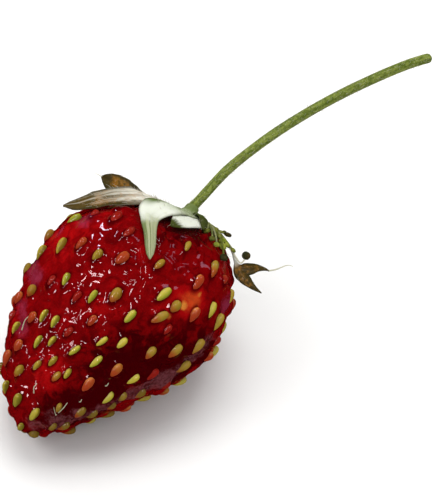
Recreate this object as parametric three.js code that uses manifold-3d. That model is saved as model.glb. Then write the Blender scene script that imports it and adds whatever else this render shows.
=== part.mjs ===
// A picked wild strawberry lying on its side: the swollen red fruit set all
// over with achenes, the withered calyx on its shoulder, the cut stalk that
// arches away from it, and the dried stamens that show where the calyx gapes.
//
// Millimetres, +Z up. The fruit is drawn along +X from its tip to its neck and
// then tipped up by LIE, so that it lies on the table as it would by itself.
// The origin is the middle of the small flat on which it rests, +X the level
// direction from the tip to the neck.
import * as THREE from "three";
import { mergeVertices } from "three/addons/utils/BufferGeometryUtils.js";
import Module from "manifold-3d";

const wasm = await Module();
wasm.setup();

const RAD = Math.PI / 180;

// Driving dimensions.
const LENGTH = 22.0; // tip to neck, along the fruit's own axis
const GIRTH = 8.0; // radius of the flesh at its widest
const WIDEST = 0.63; // where that is, as a share of the length from the tip
const TIP_FORM = [1.45, 0.58]; // how the girth falls off towards the tip
const NECK_FORM = [2.0, 0.52]; // and towards the neck
const LEAN = 0.2; // the shoulder is sheared by this much of its radius
const LEAN_TO = 206.6 * RAD; // and rises on this side of the axis
const HOOK = 0.6; // the tip is bent over by this much to the same side
const LIE = 19 * RAD; // the axis rises by this much towards the neck
const DENT = 0.28; // depth of the flesh pressed flat where it rests

const ACHENES = 216; // in a golden-angle spiral over the whole fruit
const ACHENE = [0.64, 0.37, 0.5]; // half its length, width and depth
const PROUD = 0.4; // it stands this far out of the flesh
const PRESSED = 0.04; // but only this far under the calyx
const BARE = 3.4; // none are nearer to the neck than this

const BLADE = 0.6; // thickness of sepals and bractlets
const HUG = 0.6; // the blades' middle surface over the flesh
const DISC = 1.75; // radius of the calyx disc
const OFFSET = 0.55; // the disc sits this far from the neck, to the low side
const STALK = 0.43; // radius of the stalk
const GAP = 0.3; // clearance of the stalk in its socket

const GOLDEN = Math.PI * (3 - Math.sqrt(5));

const mix = (a, b, t) => a + (b - a) * t;
const smooth = (t) => {
  const c = Math.min(1, Math.max(0, t));
  return c * c * (3 - 2 * c);
};
// A fixed draw between 0 and 1 for a number and a purpose.
const draw = (i, salt) => {
  const v = Math.sin(i * 127.1 + salt * 311.7) * 43758.5453;
  return v - Math.floor(v);
};
// The value at x of a line through [x, y] points, eased between them.
function along(points, x) {
  if (x <= points[0][0]) return points[0][1];
  for (let i = 1; i < points.length; i++) {
    const [x1, y1] = points[i];
    if (x <= x1) {
      const [x0, y0] = points[i - 1];
      const t = (x - x0) / (x1 - x0);
      return mix(y0, y1, t);
    }
  }
  return points[points.length - 1][1];
}

// ---------------------------------------------------------------- the flesh

// Radius of the flesh at a share of the length from the tip.
function girth(u) {
  const low = u < WIDEST;
  const v = low ? 1 - u / WIDEST : (u - WIDEST) / (1 - WIDEST);
  const [a, b] = low ? TIP_FORM : NECK_FORM;
  return GIRTH * Math.pow(Math.max(0, 1 - Math.pow(v, a)), b);
}

// The flesh isn't quite round, and one shoulder is flatter.
const lumps = (u, turn) =>
  1 +
  0.014 * Math.sin(3 * turn + 5 * u) +
  0.011 * Math.sin(5 * turn - 9 * u + 1.3) -
  0.06 *
    Math.exp(
      3.2 * (Math.cos(turn - LEAN_TO - 200 * RAD) - 1) -
        Math.pow((u - 0.86) / 0.11, 2),
    );

// A point of the flesh in the fruit's own frame.
function skin(u, turn) {
  const r = girth(u) * lumps(u, turn);
  const g = u > WIDEST ? Math.pow((u - WIDEST) / (1 - WIDEST), 2) : 0;
  const hook = u < 0.45 ? HOOK * Math.pow(1 - u / 0.45, 2) : 0;
  return new THREE.Vector3(
    LENGTH * u + LEAN * g * r * Math.cos(turn - LEAN_TO),
    r * Math.cos(turn) + hook * Math.cos(LEAN_TO),
    r * Math.sin(turn) + hook * Math.sin(LEAN_TO),
  );
}

// Distance walked over the skin from the neck, against the share.
const WALK = [[0, 1]];
for (let i = 1; i <= 600; i++) {
  const u = (1 + Math.cos((Math.PI * i) / 600)) / 2;
  const [far, last] = WALK[i - 1];
  WALK.push([
    far + Math.hypot(LENGTH * (u - last), girth(u) - girth(last)),
    u,
  ]);
}
const MERIDIAN = WALK[600][0];
const shareAt = (far) => along(WALK, far);

// The skin's outward direction, and the one that walks away from the neck.
function frameAt(far, turn) {
  const s = Math.min(MERIDIAN - 0.06, Math.max(0.06, far));
  const ahead = skin(shareAt(s + 0.05), turn).sub(
    skin(shareAt(s - 0.05), turn),
  );
  const u = shareAt(s);
  const round = skin(u, turn + 0.01).sub(skin(u, turn - 0.01));
  const out = round.clone().cross(ahead).normalize();
  if (out.dot(skin(u, turn).sub(new THREE.Vector3(LENGTH * 0.55, 0, 0))) < 0) {
    out.negate();
  }
  return { out, ahead: ahead.normalize(), round: round.normalize() };
}

// ------------------------------------------------------------ solids by code

function solidOf(geometry, matrix) {
  let g = geometry.clone();
  if (matrix) g.applyMatrix4(matrix);
  g.deleteAttribute("normal");
  g.deleteAttribute("uv");
  g = mergeVertices(g, 1e-5);
  const p = g.getAttribute("position");
  const tri = Uint32Array.from(g.getIndex().array);
  const kept = [];
  for (let i = 0; i < tri.length; i += 3) {
    const [a, b, c] = [tri[i], tri[i + 1], tri[i + 2]];
    if (a !== b && b !== c && a !== c) kept.push(a, b, c);
  }
  const closed = () => {
    const mesh = new wasm.Mesh({
      numProp: 3,
      vertProperties: Float32Array.from(p.array),
      triVerts: Uint32Array.from(kept),
    });
    return new wasm.Manifold(mesh);
  };
  const solid = closed();
  if (solid.volume() > 0) return solid;
  kept.reverse(); // it was inside out
  return closed();
}

function geometryOf(solid) {
  const mesh = solid.getMesh();
  const g = new THREE.BufferGeometry();
  g.setAttribute("position", new THREE.BufferAttribute(mesh.vertProperties, 3));
  g.setIndex(new THREE.BufferAttribute(mesh.triVerts, 1));
  g.computeVertexNormals();
  return g;
}

const join = (solids) => wasm.Manifold.union(solids);

// The largest body of a solid, without loose scraps.
function whole(solid) {
  const bodies = solid.decompose();
  bodies.sort((a, b) => b.volume() - a.volume());
  return bodies[0];
}

// A closed body from rows of outline points, each row the same number of
// points round a ring, with a fan at either end.
function skinned(rows) {
  const n = rows[0].length;
  const position = [];
  for (const row of rows) for (const p of row) position.push(p.x, p.y, p.z);
  const middle = (row) =>
    row.reduce((s, p) => s.add(p), new THREE.Vector3()).divideScalar(n);
  const first = middle(rows[0]);
  const last = middle(rows[rows.length - 1]);
  const a = rows.length * n;
  position.push(first.x, first.y, first.z, last.x, last.y, last.z);
  const index = [];
  for (let i = 0; i + 1 < rows.length; i++) {
    for (let j = 0; j < n; j++) {
      const k = (j + 1) % n;
      index.push(i * n + j, i * n + k, (i + 1) * n + k);
      index.push(i * n + j, (i + 1) * n + k, (i + 1) * n + j);
    }
  }
  for (let j = 0; j < n; j++) {
    const k = (j + 1) % n;
    index.push(a, k, j);
    index.push(a + 1, (rows.length - 1) * n + j, (rows.length - 1) * n + k);
  }
  const g = new THREE.BufferGeometry();
  g.setAttribute("position", new THREE.Float32BufferAttribute(position, 3));
  g.setIndex(index);
  return g;
}

// ------------------------------------------------------------------- blades

// Sepals and bractlets. `line` is the middle of a blade from the neck: distance
// walked over the flesh, the side it lies to in degrees from LEAN_TO, and its
// height over the flesh. `half` is its half width and `roll` how far one edge
// is lifted, in degrees, each against the share of its length; `fold` lifts
// both edges.
const BLADES = [
  {
    // the long folded sepal over the left shoulder
    line: [
      [0.4, 206, HUG], [2.5, 207, HUG], [3.5, 209.5, 0.64], [4.2, 212, 0.7],
      [5, 213, 0.8], [6, 212, 0.92], [7, 208.5, 0.94], [8, 206, 0.95],
      [9, 204.4, 0.96], [9.9, 202, 0.98], [10.6, 198.7, 1.02], [11.33, 194.5, 1.25],
    ],
    half: [[0, 0.9], [0.22, 1.45], [0.4, 1.55], [0.64, 1.5], [0.77, 1.25], [0.87, 0.85], [0.94, 0.5], [1, 0.14]],
    roll: [[0, 0], [0.28, -4], [0.42, -11], [0.52, -17], [0.7, -19], [0.85, -26], [1, -35]],
    fold: 0,
  },
  {
    // the broad based sepal that hangs down the front
    line: [
      [0.4, 240, HUG], [3.5, 239.5, HUG], [5.6, 239.5, 0.64], [6.6, 241, HUG],
      [7.8, 246, HUG], [9.4, 256.5, HUG], [10.9, 265, HUG],
    ],
    half: [[0, 1.0], [0.24, 1.75], [0.45, 1.72], [0.58, 1.3], [0.68, 0.92], [0.8, 0.58], [0.9, 0.42], [1, 0.14]],
    roll: [[0, 0]],
    fold: 0,
  },
  {
    // the brown sepal that stands off to the right
    line: [
      [0.4, 334, HUG], [2.6, 333, HUG], [4.29, 331, HUG], [4.99, 333.6, 0.64],
      [5.52, 336, 0.78], [6.08, 338.3, 0.98], [6.55, 340.1, 1.35],
      [6.94, 341.5, 1.86], [7.21, 342.9, 2.47],
    ],
    half: [[0, 0.5], [0.2, 0.34], [0.5, 0.3], [0.62, 0.34], [0.71, 0.52], [0.83, 0.42], [0.92, 0.26], [1, 0.14]],
    roll: [[0.42, 0], [0.62, 60], [0.72, 82]],
    fold: 0,
  },
  {
    // its upper tip
    line: [
      [0.4, 336, HUG], [2.6, 335, HUG], [4.29, 332, HUG], [4.99, 333.9, 0.64],
      [5.53, 336.1, 0.78], [5.78, 337.2, 1.05], [5.81, 337.6, 1.56],
      [5.81, 337.8, 2.15], [5.89, 338.6, 2.7], [6, 339.3, 3.08],
    ],
    half: [[0, 0.5], [0.2, 0.34], [0.5, 0.3], [0.6, 0.34], [0.68, 0.46], [0.82, 0.37], [0.91, 0.22], [1, 0.14]],
    roll: [[0.42, 0], [0.6, 60], [0.7, 84]],
    fold: 0,
  },
  {
    // behind, right
    line: [[0.4, 48, HUG], [3, 48, HUG], [6, 46, HUG], [9.4, 44, 0.66]],
    half: [[0, 1.0], [0.3, 1.5], [0.6, 1.35], [0.85, 0.8], [1, 0.14]],
    roll: [[0, 0]],
    fold: 6,
  },
  {
    // behind, left
    line: [[0.4, 112, HUG], [3, 112, HUG], [6, 110, HUG], [9.8, 108, 0.74]],
    half: [[0, 1.0], [0.3, 1.5], [0.6, 1.35], [0.86, 0.8], [1, 0.14]],
    roll: [[0, 0]],
    fold: 6,
  },
  {
    // bractlet raised clear of the left shoulder
    line: [
      [0.4, 172, HUG], [2, 169, HUG], [3.2, 165, 0.64], [4.12, 160.5, 0.85],
      [4.82, 158.2, 1.12], [5.46, 157.9, 1.45], [6.07, 157.9, 1.87],
      [6.58, 158.1, 2.27], [7.11, 158.8, 2.73], [7.65, 159.7, 3.2],
    ],
    half: [[0, 0.6], [0.4, 0.62], [0.6, 0.7], [0.76, 0.68], [0.88, 0.46], [0.95, 0.28], [1, 0.14]],
    roll: [[0.3, 0], [0.6, 62], [0.75, 80]],
    fold: 0,
  },
  {
    // short bractlet in front, its tip bent in
    line: [[0.4, 264, HUG], [2.4, 264, HUG], [4.5, 263, HUG], [5.9, 261.5, HUG], [7.1, 259.5, HUG]],
    half: [[0, 0.9], [0.32, 1.4], [0.59, 1.3], [0.77, 0.9], [0.9, 0.5], [1, 0.16]],
    roll: [[0, 0]],
    fold: 0,
  },
  {
    // narrow one beside the gap
    line: [[0.4, 284, HUG], [3.4, 284, HUG], [5.9, 285.5, HUG]],
    half: [[0, 0.5], [0.2, 0.42], [0.8, 0.38], [1, 0.16]],
    roll: [[0, 0]],
    fold: 0,
  },
  {
    // bractlet behind
    line: [[0.4, 80, HUG], [3, 80, HUG], [5, 79, 0.7], [7, 78, 1.15]],
    half: [[0, 0.7], [0.4, 0.8], [0.7, 0.62], [1, 0.14]],
    roll: [[0, 0]],
    fold: 0,
  },
  {
    // short bractlet between the two on the right
    line: [[0.4, 12, HUG], [3, 14, HUG], [5.4, 18, HUG]],
    half: [[0, 0.7], [0.4, 0.8], [0.75, 0.6], [1, 0.14]],
    roll: [[0, 0]],
    fold: 0,
  },
];

// The middle of a blade at each share of its length, with the directions
// across it: level with the skin while it's low, and carried along without a
// twist where it stands off.
function spineOf(blade, shares) {
  const key = new THREE.CatmullRomCurve3(
    blade.line.map(([s, az, high]) => new THREE.Vector3(s, az, high)),
    false,
    "catmullrom",
  ).getPoints(120);
  const points = key.map(({ x, y, z }) => {
    const far = Math.max(0.02, x);
    const turn = LEAN_TO + y * RAD;
    const { out } = frameAt(far, turn);
    const foot = skin(shareAt(far), turn);
    return { foot, out, high: z, place: foot.clone().addScaledVector(out, z) };
  });
  let gone = 0;
  points.forEach((p, i) => {
    if (i) gone += p.place.distanceTo(points[i - 1].place);
    p.gone = gone;
  });
  const at = (share) => {
    let k = 1;
    while (k < points.length - 1 && points[k].gone < share * gone) k++;
    const [a, b] = [points[k - 1], points[k]];
    const t = Math.min(1, (share * gone - a.gone) / (b.gone - a.gone));
    return {
      foot: a.foot.clone().lerp(b.foot, t),
      out: a.out.clone().lerp(b.out, t).normalize(),
      high: mix(a.high, b.high, t),
      place: a.place.clone().lerp(b.place, t),
      ahead: b.place.clone().sub(a.place).normalize(),
    };
  };
  let kept = null;
  const spine = shares.map((share) => {
    const p = at(share);
    const level = p.out.clone().cross(p.ahead).normalize();
    if (kept) {
      kept.addScaledVector(p.ahead, -kept.dot(p.ahead)).normalize();
      level.lerp(kept, smooth((p.high - 0.75) / 0.35)).normalize();
    }
    kept = level.clone();
    return { ...p, side: level, up: p.ahead.clone().cross(level).normalize() };
  });
  return { spine, length: gone };
}

function bladeSolid(blade) {
  const broad = Math.max(...blade.half.map(([, h]) => h)) > 1.2;
  const fine = Array.from({ length: 61 }, (_, i) => i / 60);
  const { spine, length } = spineOf(blade, fine);
  const turned = blade.roll.length > 1;
  const steps = Math.round(length / (turned ? 0.7 : broad ? 0.95 : 1.05));
  const cols = broad ? 4 : 2;
  const rows = [];
  for (let i = 0; i <= steps; i++) {
    const share = i / steps;
    const { place: centre, side, up } = spine[Math.round(share * 60)];
    const half = along(blade.half, share);
    const roll = along(blade.roll, share) * RAD;
    const lift =
      Math.tan(blade.fold * RAD) * smooth((share * length - 1.5) / 2);
    const span = side
      .clone()
      .multiplyScalar(Math.cos(roll))
      .addScaledVector(up, Math.sin(roll));
    const face = up
      .clone()
      .multiplyScalar(Math.cos(roll))
      .addScaledVector(side, -Math.sin(roll));
    const place = (j, over) => {
      const y = mix(-half, half, j / cols);
      return centre
        .clone()
        .addScaledVector(span, y)
        .addScaledVector(face, lift * Math.abs(y) + (over * BLADE) / 2);
    };
    const row = [];
    for (let j = 0; j <= cols; j++) row.push(place(j, 1));
    for (let j = cols; j >= 0; j--) row.push(place(j, -1));
    rows.push(row);
  }
  // The same split of both faces: quads of the lower face run backwards
  // round the ring, so the ring is skinned with their diagonals flipped.
  const n = rows[0].length;
  const position = [];
  for (const row of rows) for (const p of row) position.push(p.x, p.y, p.z);
  const index = [];
  const quad = (a, b, c, d, flip) =>
    flip ? index.push(a, b, d, b, c, d) : index.push(a, b, c, a, c, d);
  for (let i = 0; i + 1 < rows.length; i++) {
    for (let j = 0; j < n; j++) {
      const k = (j + 1) % n;
      quad(i * n + j, i * n + k, (i + 1) * n + k, (i + 1) * n + j, j > cols);
    }
  }
  for (const [i, back] of [[0, true], [rows.length - 1, false]]) {
    for (let j = 0; j < cols; j++) {
      const [a, b, c, d] = [j, j + 1, n - 2 - j, n - 1 - j].map(
        (v) => v + i * n,
      );
      back ? index.push(a, c, b, a, d, c) : index.push(a, b, c, a, c, d);
    }
  }
  const g = new THREE.BufferGeometry();
  g.setAttribute("position", new THREE.Float32BufferAttribute(position, 3));
  g.setIndex(index);
  return solidOf(g);
}

// The skin's places under the blades, with the blades' reach there.
const SHADED = BLADES.flatMap((blade) => {
  const shares = Array.from({ length: 31 }, (_, i) => i / 30);
  return spineOf(blade, shares)
    .spine.map(({ foot, high }, i) => ({
      foot,
      high,
      reach: along(blade.half, shares[i]) + 0.7,
    }))
    .filter(({ high }) => high < 1.4);
});

// Whether a place on the skin lies under a blade.
function covered(far, turn) {
  const p = skin(shareAt(far), turn);
  return SHADED.some(({ foot, reach }) => p.distanceTo(foot) < reach);
}

// ------------------------------------------------------------------- fruit

function fleshGeometry() {
  const across = 40;
  const down = 26;
  const g = new THREE.SphereGeometry(1, across, down);
  const p = g.getAttribute("position");
  for (let i = 0; i < p.count; i++) {
    const v = new THREE.Vector3().fromBufferAttribute(p, i);
    const polar = Math.acos(Math.min(1, Math.max(-1, v.y)));
    const turn = Math.atan2(v.z, v.x);
    const pole = polar < 1e-4 ? 1 : polar > Math.PI - 1e-4 ? -1 : 0;
    const q =
      pole === 1
        ? skin(1, 0)
        : pole === -1
          ? skin(0, 0)
          : skin(shareAt((polar / Math.PI) * MERIDIAN), turn);
    p.setXYZ(i, q.x, q.y, q.z);
  }
  return g;
}

// Achene places: equal weighted area for each, closer towards the tip.
function achenePlaces() {
  const table = [[0, 0]];
  for (let i = 1; i <= 500; i++) {
    const far = MERIDIAN - (i / 500) * (MERIDIAN - BARE);
    const u = shareAt(far);
    const weight = 1 + 1.15 * Math.pow(1 - u, 1.6);
    table.push([
      table[i - 1][0] + girth(u) * weight,
      far,
    ]);
  }
  table[0][1] = MERIDIAN;
  const total = table[500][0];
  const places = [];
  for (let i = 0; i < ACHENES; i++) {
    const far =
      along(table, ((i + 0.6) / ACHENES) * total) + 0.22 * (draw(i, 1) - 0.5);
    const r = Math.max(0.4, girth(shareAt(far)));
    const turn = i * GOLDEN + (0.4 * (draw(i, 2) - 0.5)) / r;
    places.push({
      far: Math.min(MERIDIAN - 0.25, far),
      turn: turn % (2 * Math.PI),
      skew: (draw(i, 3) - 0.5) * 0.5,
      size: 0.92 + 0.18 * draw(i, 4),
      i,
    });
  }
  return places;
}

function acheneSolid({ far, turn, skew, size }) {
  const g = new THREE.SphereGeometry(1, 5, 3).rotateY(Math.PI / 2);
  const p = g.getAttribute("position");
  for (let i = 0; i < p.count; i++) {
    const taper = p.getY(i) > 0 ? 1.12 : 0.86;
    p.setXYZ(
      i,
      p.getX(i) * ACHENE[1] * taper * size,
      p.getY(i) * ACHENE[0] * size,
      p.getZ(i) * ACHENE[2] * (p.getY(i) > 0 ? 1.06 : 0.94),
    );
  }
  const { out, ahead } = frameAt(far, turn);
  const back = ahead.clone().negate().applyAxisAngle(out, skew);
  const across = back.clone().cross(out).normalize();
  const up = across.clone().cross(back).normalize();
  const proud = covered(far, turn) ? PRESSED : PROUD;
  const at = skin(shareAt(far), turn).addScaledVector(
    out,
    proud - ACHENE[2] * 0.9,
  );
  const m = new THREE.Matrix4().makeBasis(across, back, up).setPosition(at);
  return solidOf(g, m);
}

// The fruit lies tipped up by LIE, pressed DENT into the table.
const lying = new THREE.Group();
lying.rotation.y = -LIE;
lying.updateMatrix();
{
  const low = new THREE.Vector3(0, 0, Infinity);
  for (let i = 0; i <= 240; i++) {
    for (let j = 0; j < 240; j++) {
      const p = skin(i / 240, (j * Math.PI) / 120).applyMatrix4(lying.matrix);
      if (p.z < low.z) low.copy(p);
    }
  }
  lying.position.set(-low.x, -low.y, -low.z - DENT);
  lying.updateMatrix();
}

function fruitGeometry() {
  const parts = [solidOf(fleshGeometry())];
  for (const place of achenePlaces()) parts.push(acheneSolid(place));
  const below = solidOf(
    new THREE.BoxGeometry(60, 60, 10),
    lying.matrix
      .clone()
      .invert()
      .multiply(new THREE.Matrix4().makeTranslation(0, 0, -5)),
  );
  return geometryOf(whole(join(parts).subtract(below)));
}

// ------------------------------------------------------------- calyx, stalk

// The frame of the calyx: z out of the neck, x to the side the shoulder
// leans to, with its origin on the skin where the disc sits.
const head = new THREE.Group();
{
  const z = new THREE.Vector3(
    1,
    -LEAN * Math.cos(LEAN_TO),
    -LEAN * Math.sin(LEAN_TO),
  ).normalize();
  const x = new THREE.Vector3(LEAN, Math.cos(LEAN_TO), Math.sin(LEAN_TO))
    .addScaledVector(z, 0)
    .normalize();
  const y = z.clone().cross(x).normalize();
  head.matrixAutoUpdate = true;
  head.quaternion.setFromRotationMatrix(
    new THREE.Matrix4().makeBasis(x, y, z),
  );
  head.position.copy(skin(1, 0)).addScaledVector(x, -OFFSET);
  head.updateMatrix();
}

// The stalk's line in the calyx's frame, [x, z], from the socket to the cut.
const STALK_LINE = [
  [0.0, 1.02],
  [0.14, 1.5],
  [0.36, 2.52],
  [0.65, 3.96],
  [1.01, 5.32],
  [1.7, 7.12],
  [2.67, 9.43],
  [3.75, 11.57],
  [5.36, 14.46],
  [7.43, 17.59],
  [9.6, 20.55],
  [10.94, 21.93],
];

function calyxGeometry() {
  const disc = solidOf(
    new THREE.LatheGeometry(
      [
        [0, 0.33],
        [1.35, 0.33],
        [DISC, 0.55],
        [DISC - 0.05, 0.9],
        [1.2, 1.2],
        [0, 1.3],
      ].map(([r, h]) => new THREE.Vector2(r, h)),
      22,
    ),
    head.matrix.clone().multiply(new THREE.Matrix4().makeRotationX(Math.PI / 2)),
  );
  const solids = [disc, ...BLADES.map(bladeSolid)];
  const socket = solidOf(
    new THREE.CylinderGeometry(STALK + GAP + 0.06, STALK + GAP, 4, 20),
    head.matrix
      .clone()
      .multiply(new THREE.Matrix4().makeTranslation(0.05, 0, 0.72 + 2))
      .multiply(new THREE.Matrix4().makeRotationX(Math.PI / 2)),
  );
  return geometryOf(whole(join(solids).subtract(socket)));
}

function stalkGeometry() {
  const line = new THREE.CatmullRomCurve3(
    STALK_LINE.map(([x, z]) => new THREE.Vector3(x, 0, z)),
  );
  const sides = 10;
  const round = new THREE.Shape(
    Array.from({ length: sides }, (_, i) => {
      const a = (2 * Math.PI * i) / sides;
      return new THREE.Vector2(STALK * Math.cos(a), STALK * Math.sin(a));
    }),
  );
  return new THREE.ExtrudeGeometry(round, {
    steps: 26,
    extrudePath: line,
    bevelEnabled: false,
  });
}

// ----------------------------------------------------------------- stamens

// Withered stamens on a narrow rim, in the gap of the calyx.
// Each is [side at the rim, side at its end, length, end height, anther].
const RIM = { from: 302, to: 317, near: 2.3, far: 2.8, low: 0.34, high: 0.72 };
const STAMENS = [
  [303, 306, 0.6, 0.62, 0.28],
  [306, 313, 1.0, 0.68, 0.28],
  [308, 319, 0.9, 0.98, 0.3],
  [310, 312, 1.5, 0.66, 0.27],
  [312, 321, 1.6, 0.74, 0.28],
  [314, 326, 2.7, 1.8, 0.36],
  [317, 324.5, 2.1, 0.9, 0.28],
];

function stamenGeometry() {
  const lifted = (far, side, height) => {
    const turn = LEAN_TO + side * RAD;
    return skin(shareAt(far), turn).addScaledVector(
      frameAt(far, turn).out,
      height,
    );
  };
  const rows = [];
  for (let i = 0; i <= 8; i++) {
    const side = mix(RIM.from - 2, RIM.to + 2, i / 8);
    rows.push([
      lifted(RIM.near, side, RIM.low),
      lifted(RIM.far, side, RIM.low),
      lifted(RIM.far, side, RIM.high),
      lifted(RIM.near, side, RIM.high),
    ]);
  }
  const solids = [solidOf(skinned(rows))];
  STAMENS.forEach(([from, to, length, height, anther], k) => {
    const path = [];
    for (let i = 0; i <= 5; i++) {
      const t = i / 5;
      path.push(
        lifted(
          2.55 + length * t,
          mix(from, to, t) + 3 * (draw(k, 5) - 0.5) * t,
          mix(0.52, height, t * t),
        ),
      );
    }
    const curve = new THREE.CatmullRomCurve3(path);
    const { out } = frameAt(2.55 + length, LEAN_TO + to * RAD);
    const tube = [];
    for (let i = 0; i <= 3; i++) {
      const at = curve.getPoint(i / 3);
      const ahead = curve.getTangent(i / 3);
      const x = out.clone().cross(ahead).normalize();
      const y = ahead.clone().cross(x).normalize();
      const r = mix(0.17, 0.13, i / 3);
      tube.push(
        Array.from({ length: 5 }, (_, j) => {
          const a = (2 * Math.PI * j) / 5;
          return at
            .clone()
            .addScaledVector(x, r * Math.cos(a))
            .addScaledVector(y, r * Math.sin(a));
        }),
      );
    }
    solids.push(solidOf(skinned(tube)));
    const end = curve.getPoint(1);
    const ahead = curve.getTangent(1);
    const x = out.clone().cross(ahead).normalize();
    const y = ahead.clone().cross(x).normalize();
    solids.push(
      solidOf(
        new THREE.SphereGeometry(anther, 6, 4),
        new THREE.Matrix4()
          .makeBasis(
            x.multiplyScalar(1.15),
            ahead.clone().multiplyScalar(0.85),
            y.clone().multiplyScalar(0.85),
          )
          .setPosition(end.addScaledVector(ahead, anther * 0.5)),
      ),
    );
  });
  return geometryOf(whole(join(solids)));
}

// ------------------------------------------------------------------- model

function named(name, geometry, color, roughness) {
  const mesh = new THREE.Mesh(
    geometry,
    new THREE.MeshStandardMaterial({ color, roughness, metalness: 0 }),
  );
  mesh.name = name;
  return mesh;
}

lying.add(named("fruit", fruitGeometry(), 0x9e0f12, 0.22));
lying.add(named("calyx", calyxGeometry(), 0x8f9a6a, 0.7));
lying.add(named("stamens", stamenGeometry(), 0x6b5a24, 0.75));
head.add(named("stalk", stalkGeometry(), 0x71853a, 0.6));
lying.add(head);

const strawberry = new THREE.Group();
strawberry.add(lying);

export default strawberry;
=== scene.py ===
import math

import bmesh
import bpy
import numpy as np
from bpy.props import (
    FloatProperty,
    FloatVectorProperty,
    IntProperty,
    PointerProperty,
)
from mathutils import Matrix, Vector, noise


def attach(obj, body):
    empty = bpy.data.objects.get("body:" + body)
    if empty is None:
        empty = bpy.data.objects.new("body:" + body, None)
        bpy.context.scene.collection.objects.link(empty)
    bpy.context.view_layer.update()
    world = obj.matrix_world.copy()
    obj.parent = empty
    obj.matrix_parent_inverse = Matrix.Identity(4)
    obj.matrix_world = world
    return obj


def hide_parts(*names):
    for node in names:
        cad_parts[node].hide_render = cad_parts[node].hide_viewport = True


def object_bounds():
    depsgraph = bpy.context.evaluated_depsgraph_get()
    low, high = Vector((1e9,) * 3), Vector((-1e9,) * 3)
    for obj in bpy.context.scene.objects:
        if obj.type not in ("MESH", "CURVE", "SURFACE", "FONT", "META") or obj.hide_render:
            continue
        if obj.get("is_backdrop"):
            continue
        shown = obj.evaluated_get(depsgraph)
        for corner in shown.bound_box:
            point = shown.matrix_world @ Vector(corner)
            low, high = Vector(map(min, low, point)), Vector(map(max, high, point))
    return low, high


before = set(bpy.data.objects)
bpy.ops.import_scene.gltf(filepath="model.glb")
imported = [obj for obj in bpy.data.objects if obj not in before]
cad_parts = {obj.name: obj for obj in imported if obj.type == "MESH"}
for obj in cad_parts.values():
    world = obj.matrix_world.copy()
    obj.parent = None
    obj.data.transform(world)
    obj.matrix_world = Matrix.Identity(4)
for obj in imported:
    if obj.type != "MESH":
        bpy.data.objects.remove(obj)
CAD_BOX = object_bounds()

bl_info = {
    "name": "Wild strawberry",
    "version": (1, 0, 0),
    "blender": (4, 5, 0),
    "location": "View3D > Sidebar > Strawberry",
    "description": "Makes one picked wild strawberry around its packed solids",
    "category": "Add Mesh",
}

MM = 0.001
RAD = math.pi / 180
GOLDEN = math.pi * (3 - math.sqrt(5))

# ---------------------------------------------------------------------------
# The fruit's form, in millimetres in its own frame: the tip at the origin, the
# neck up +X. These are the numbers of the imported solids, but for HOLLOW.

LENGTH = 22.0  # tip to neck
GIRTH = 8.0  # widest radius
WIDEST = 0.63  # its share of the length
TIP_FORM = (1.45, 0.58)
NECK_FORM = (2.0, 0.52)
LEAN = 0.2  # shear of the shoulder
LEAN_TO = 206.6 * RAD  # and the side it rises on
HOOK = 0.6  # bend of the tip
LIE = 19 * RAD  # rise of the axis over the table
DENT = 0.28  # depth of the flesh pressed flat on the table
HOLLOW = 0.12  # the low side near the tip, shallower than in the solids
# Two shallow places: share of the length, side from LEAN_TO, reach, narrowness.
FLAT_SHOULDER = (0.86, 200 * RAD, 0.11, 3.2)
HOLLOW_SIDE = (0.18, 0.0, 0.23, 3.6)

SPIRAL = 216  # achenes of the golden-angle spiral
CLOSER, CLOSER_POWER = 1.15, 1.6  # how much closer they are towards the tip
STRAY_FAR, STRAY_ROUND = 0.22, 0.4  # millimetres that they stray by
PROUD = 0.31  # an achene's height over its swelling
PRESSED = 0.04  # and over the flesh under the calyx
BARE = 3.4  # none are nearer to the neck than this


def girth(u):
    """Radius of the flesh at a share of the length from the tip."""
    u = np.asarray(u, float)
    low = u < WIDEST
    v = np.where(low, 1 - u / WIDEST, (u - WIDEST) / (1 - WIDEST))
    a = np.where(low, TIP_FORM[0], NECK_FORM[0])
    b = np.where(low, TIP_FORM[1], NECK_FORM[1])
    return GIRTH * np.maximum(0, 1 - np.abs(v) ** a) ** b


def patch_at(u, turn, share, side, reach, narrow):
    """1 at a share of the length and a side, fading to 0 round it."""
    round_ = narrow * (np.cos(turn - LEAN_TO - side) - 1)
    return np.exp(round_ - ((u - share) / reach) ** 2)


def lumps(u, turn, hollow):
    """The flesh isn't quite round, and one shoulder is flatter."""
    return (
        1
        + 0.014 * np.sin(3 * turn + 5 * u)
        + 0.011 * np.sin(5 * turn - 9 * u + 1.3)
        - 0.06 * patch_at(u, turn, *FLAT_SHOULDER)
        - hollow * patch_at(u, turn, *HOLLOW_SIDE)
    )


def skin(u, turn, hollow=HOLLOW):
    """Points of the flesh, without its relief."""
    u, turn = np.broadcast_arrays(np.asarray(u, float), np.asarray(turn, float))
    r = girth(u) * lumps(u, turn, hollow)
    g = np.where(u > WIDEST, ((u - WIDEST) / (1 - WIDEST)) ** 2, 0)
    hook = np.where(u < 0.45, HOOK * (1 - u / 0.45) ** 2, 0)
    return np.stack(
        [
            LENGTH * u + LEAN * g * r * np.cos(turn - LEAN_TO),
            r * np.cos(turn) + hook * math.cos(LEAN_TO),
            r * np.sin(turn) + hook * math.sin(LEAN_TO),
        ],
        -1,
    )


def _walk():
    """Distance walked over the skin from the neck, against the share."""
    u = (1 + np.cos(np.pi * np.arange(601) / 600)) / 2
    step = np.hypot(LENGTH * np.diff(u), np.diff(girth(u)))
    return np.concatenate([[0], np.cumsum(step)]), u


WALK_FAR, WALK_SHARE = _walk()
MERIDIAN = WALK_FAR[-1]


def share_at(far):
    return np.interp(far, WALK_FAR, WALK_SHARE)


def unit(v):
    return v / np.maximum(1e-12, np.linalg.norm(v, axis=-1, keepdims=True))


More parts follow.
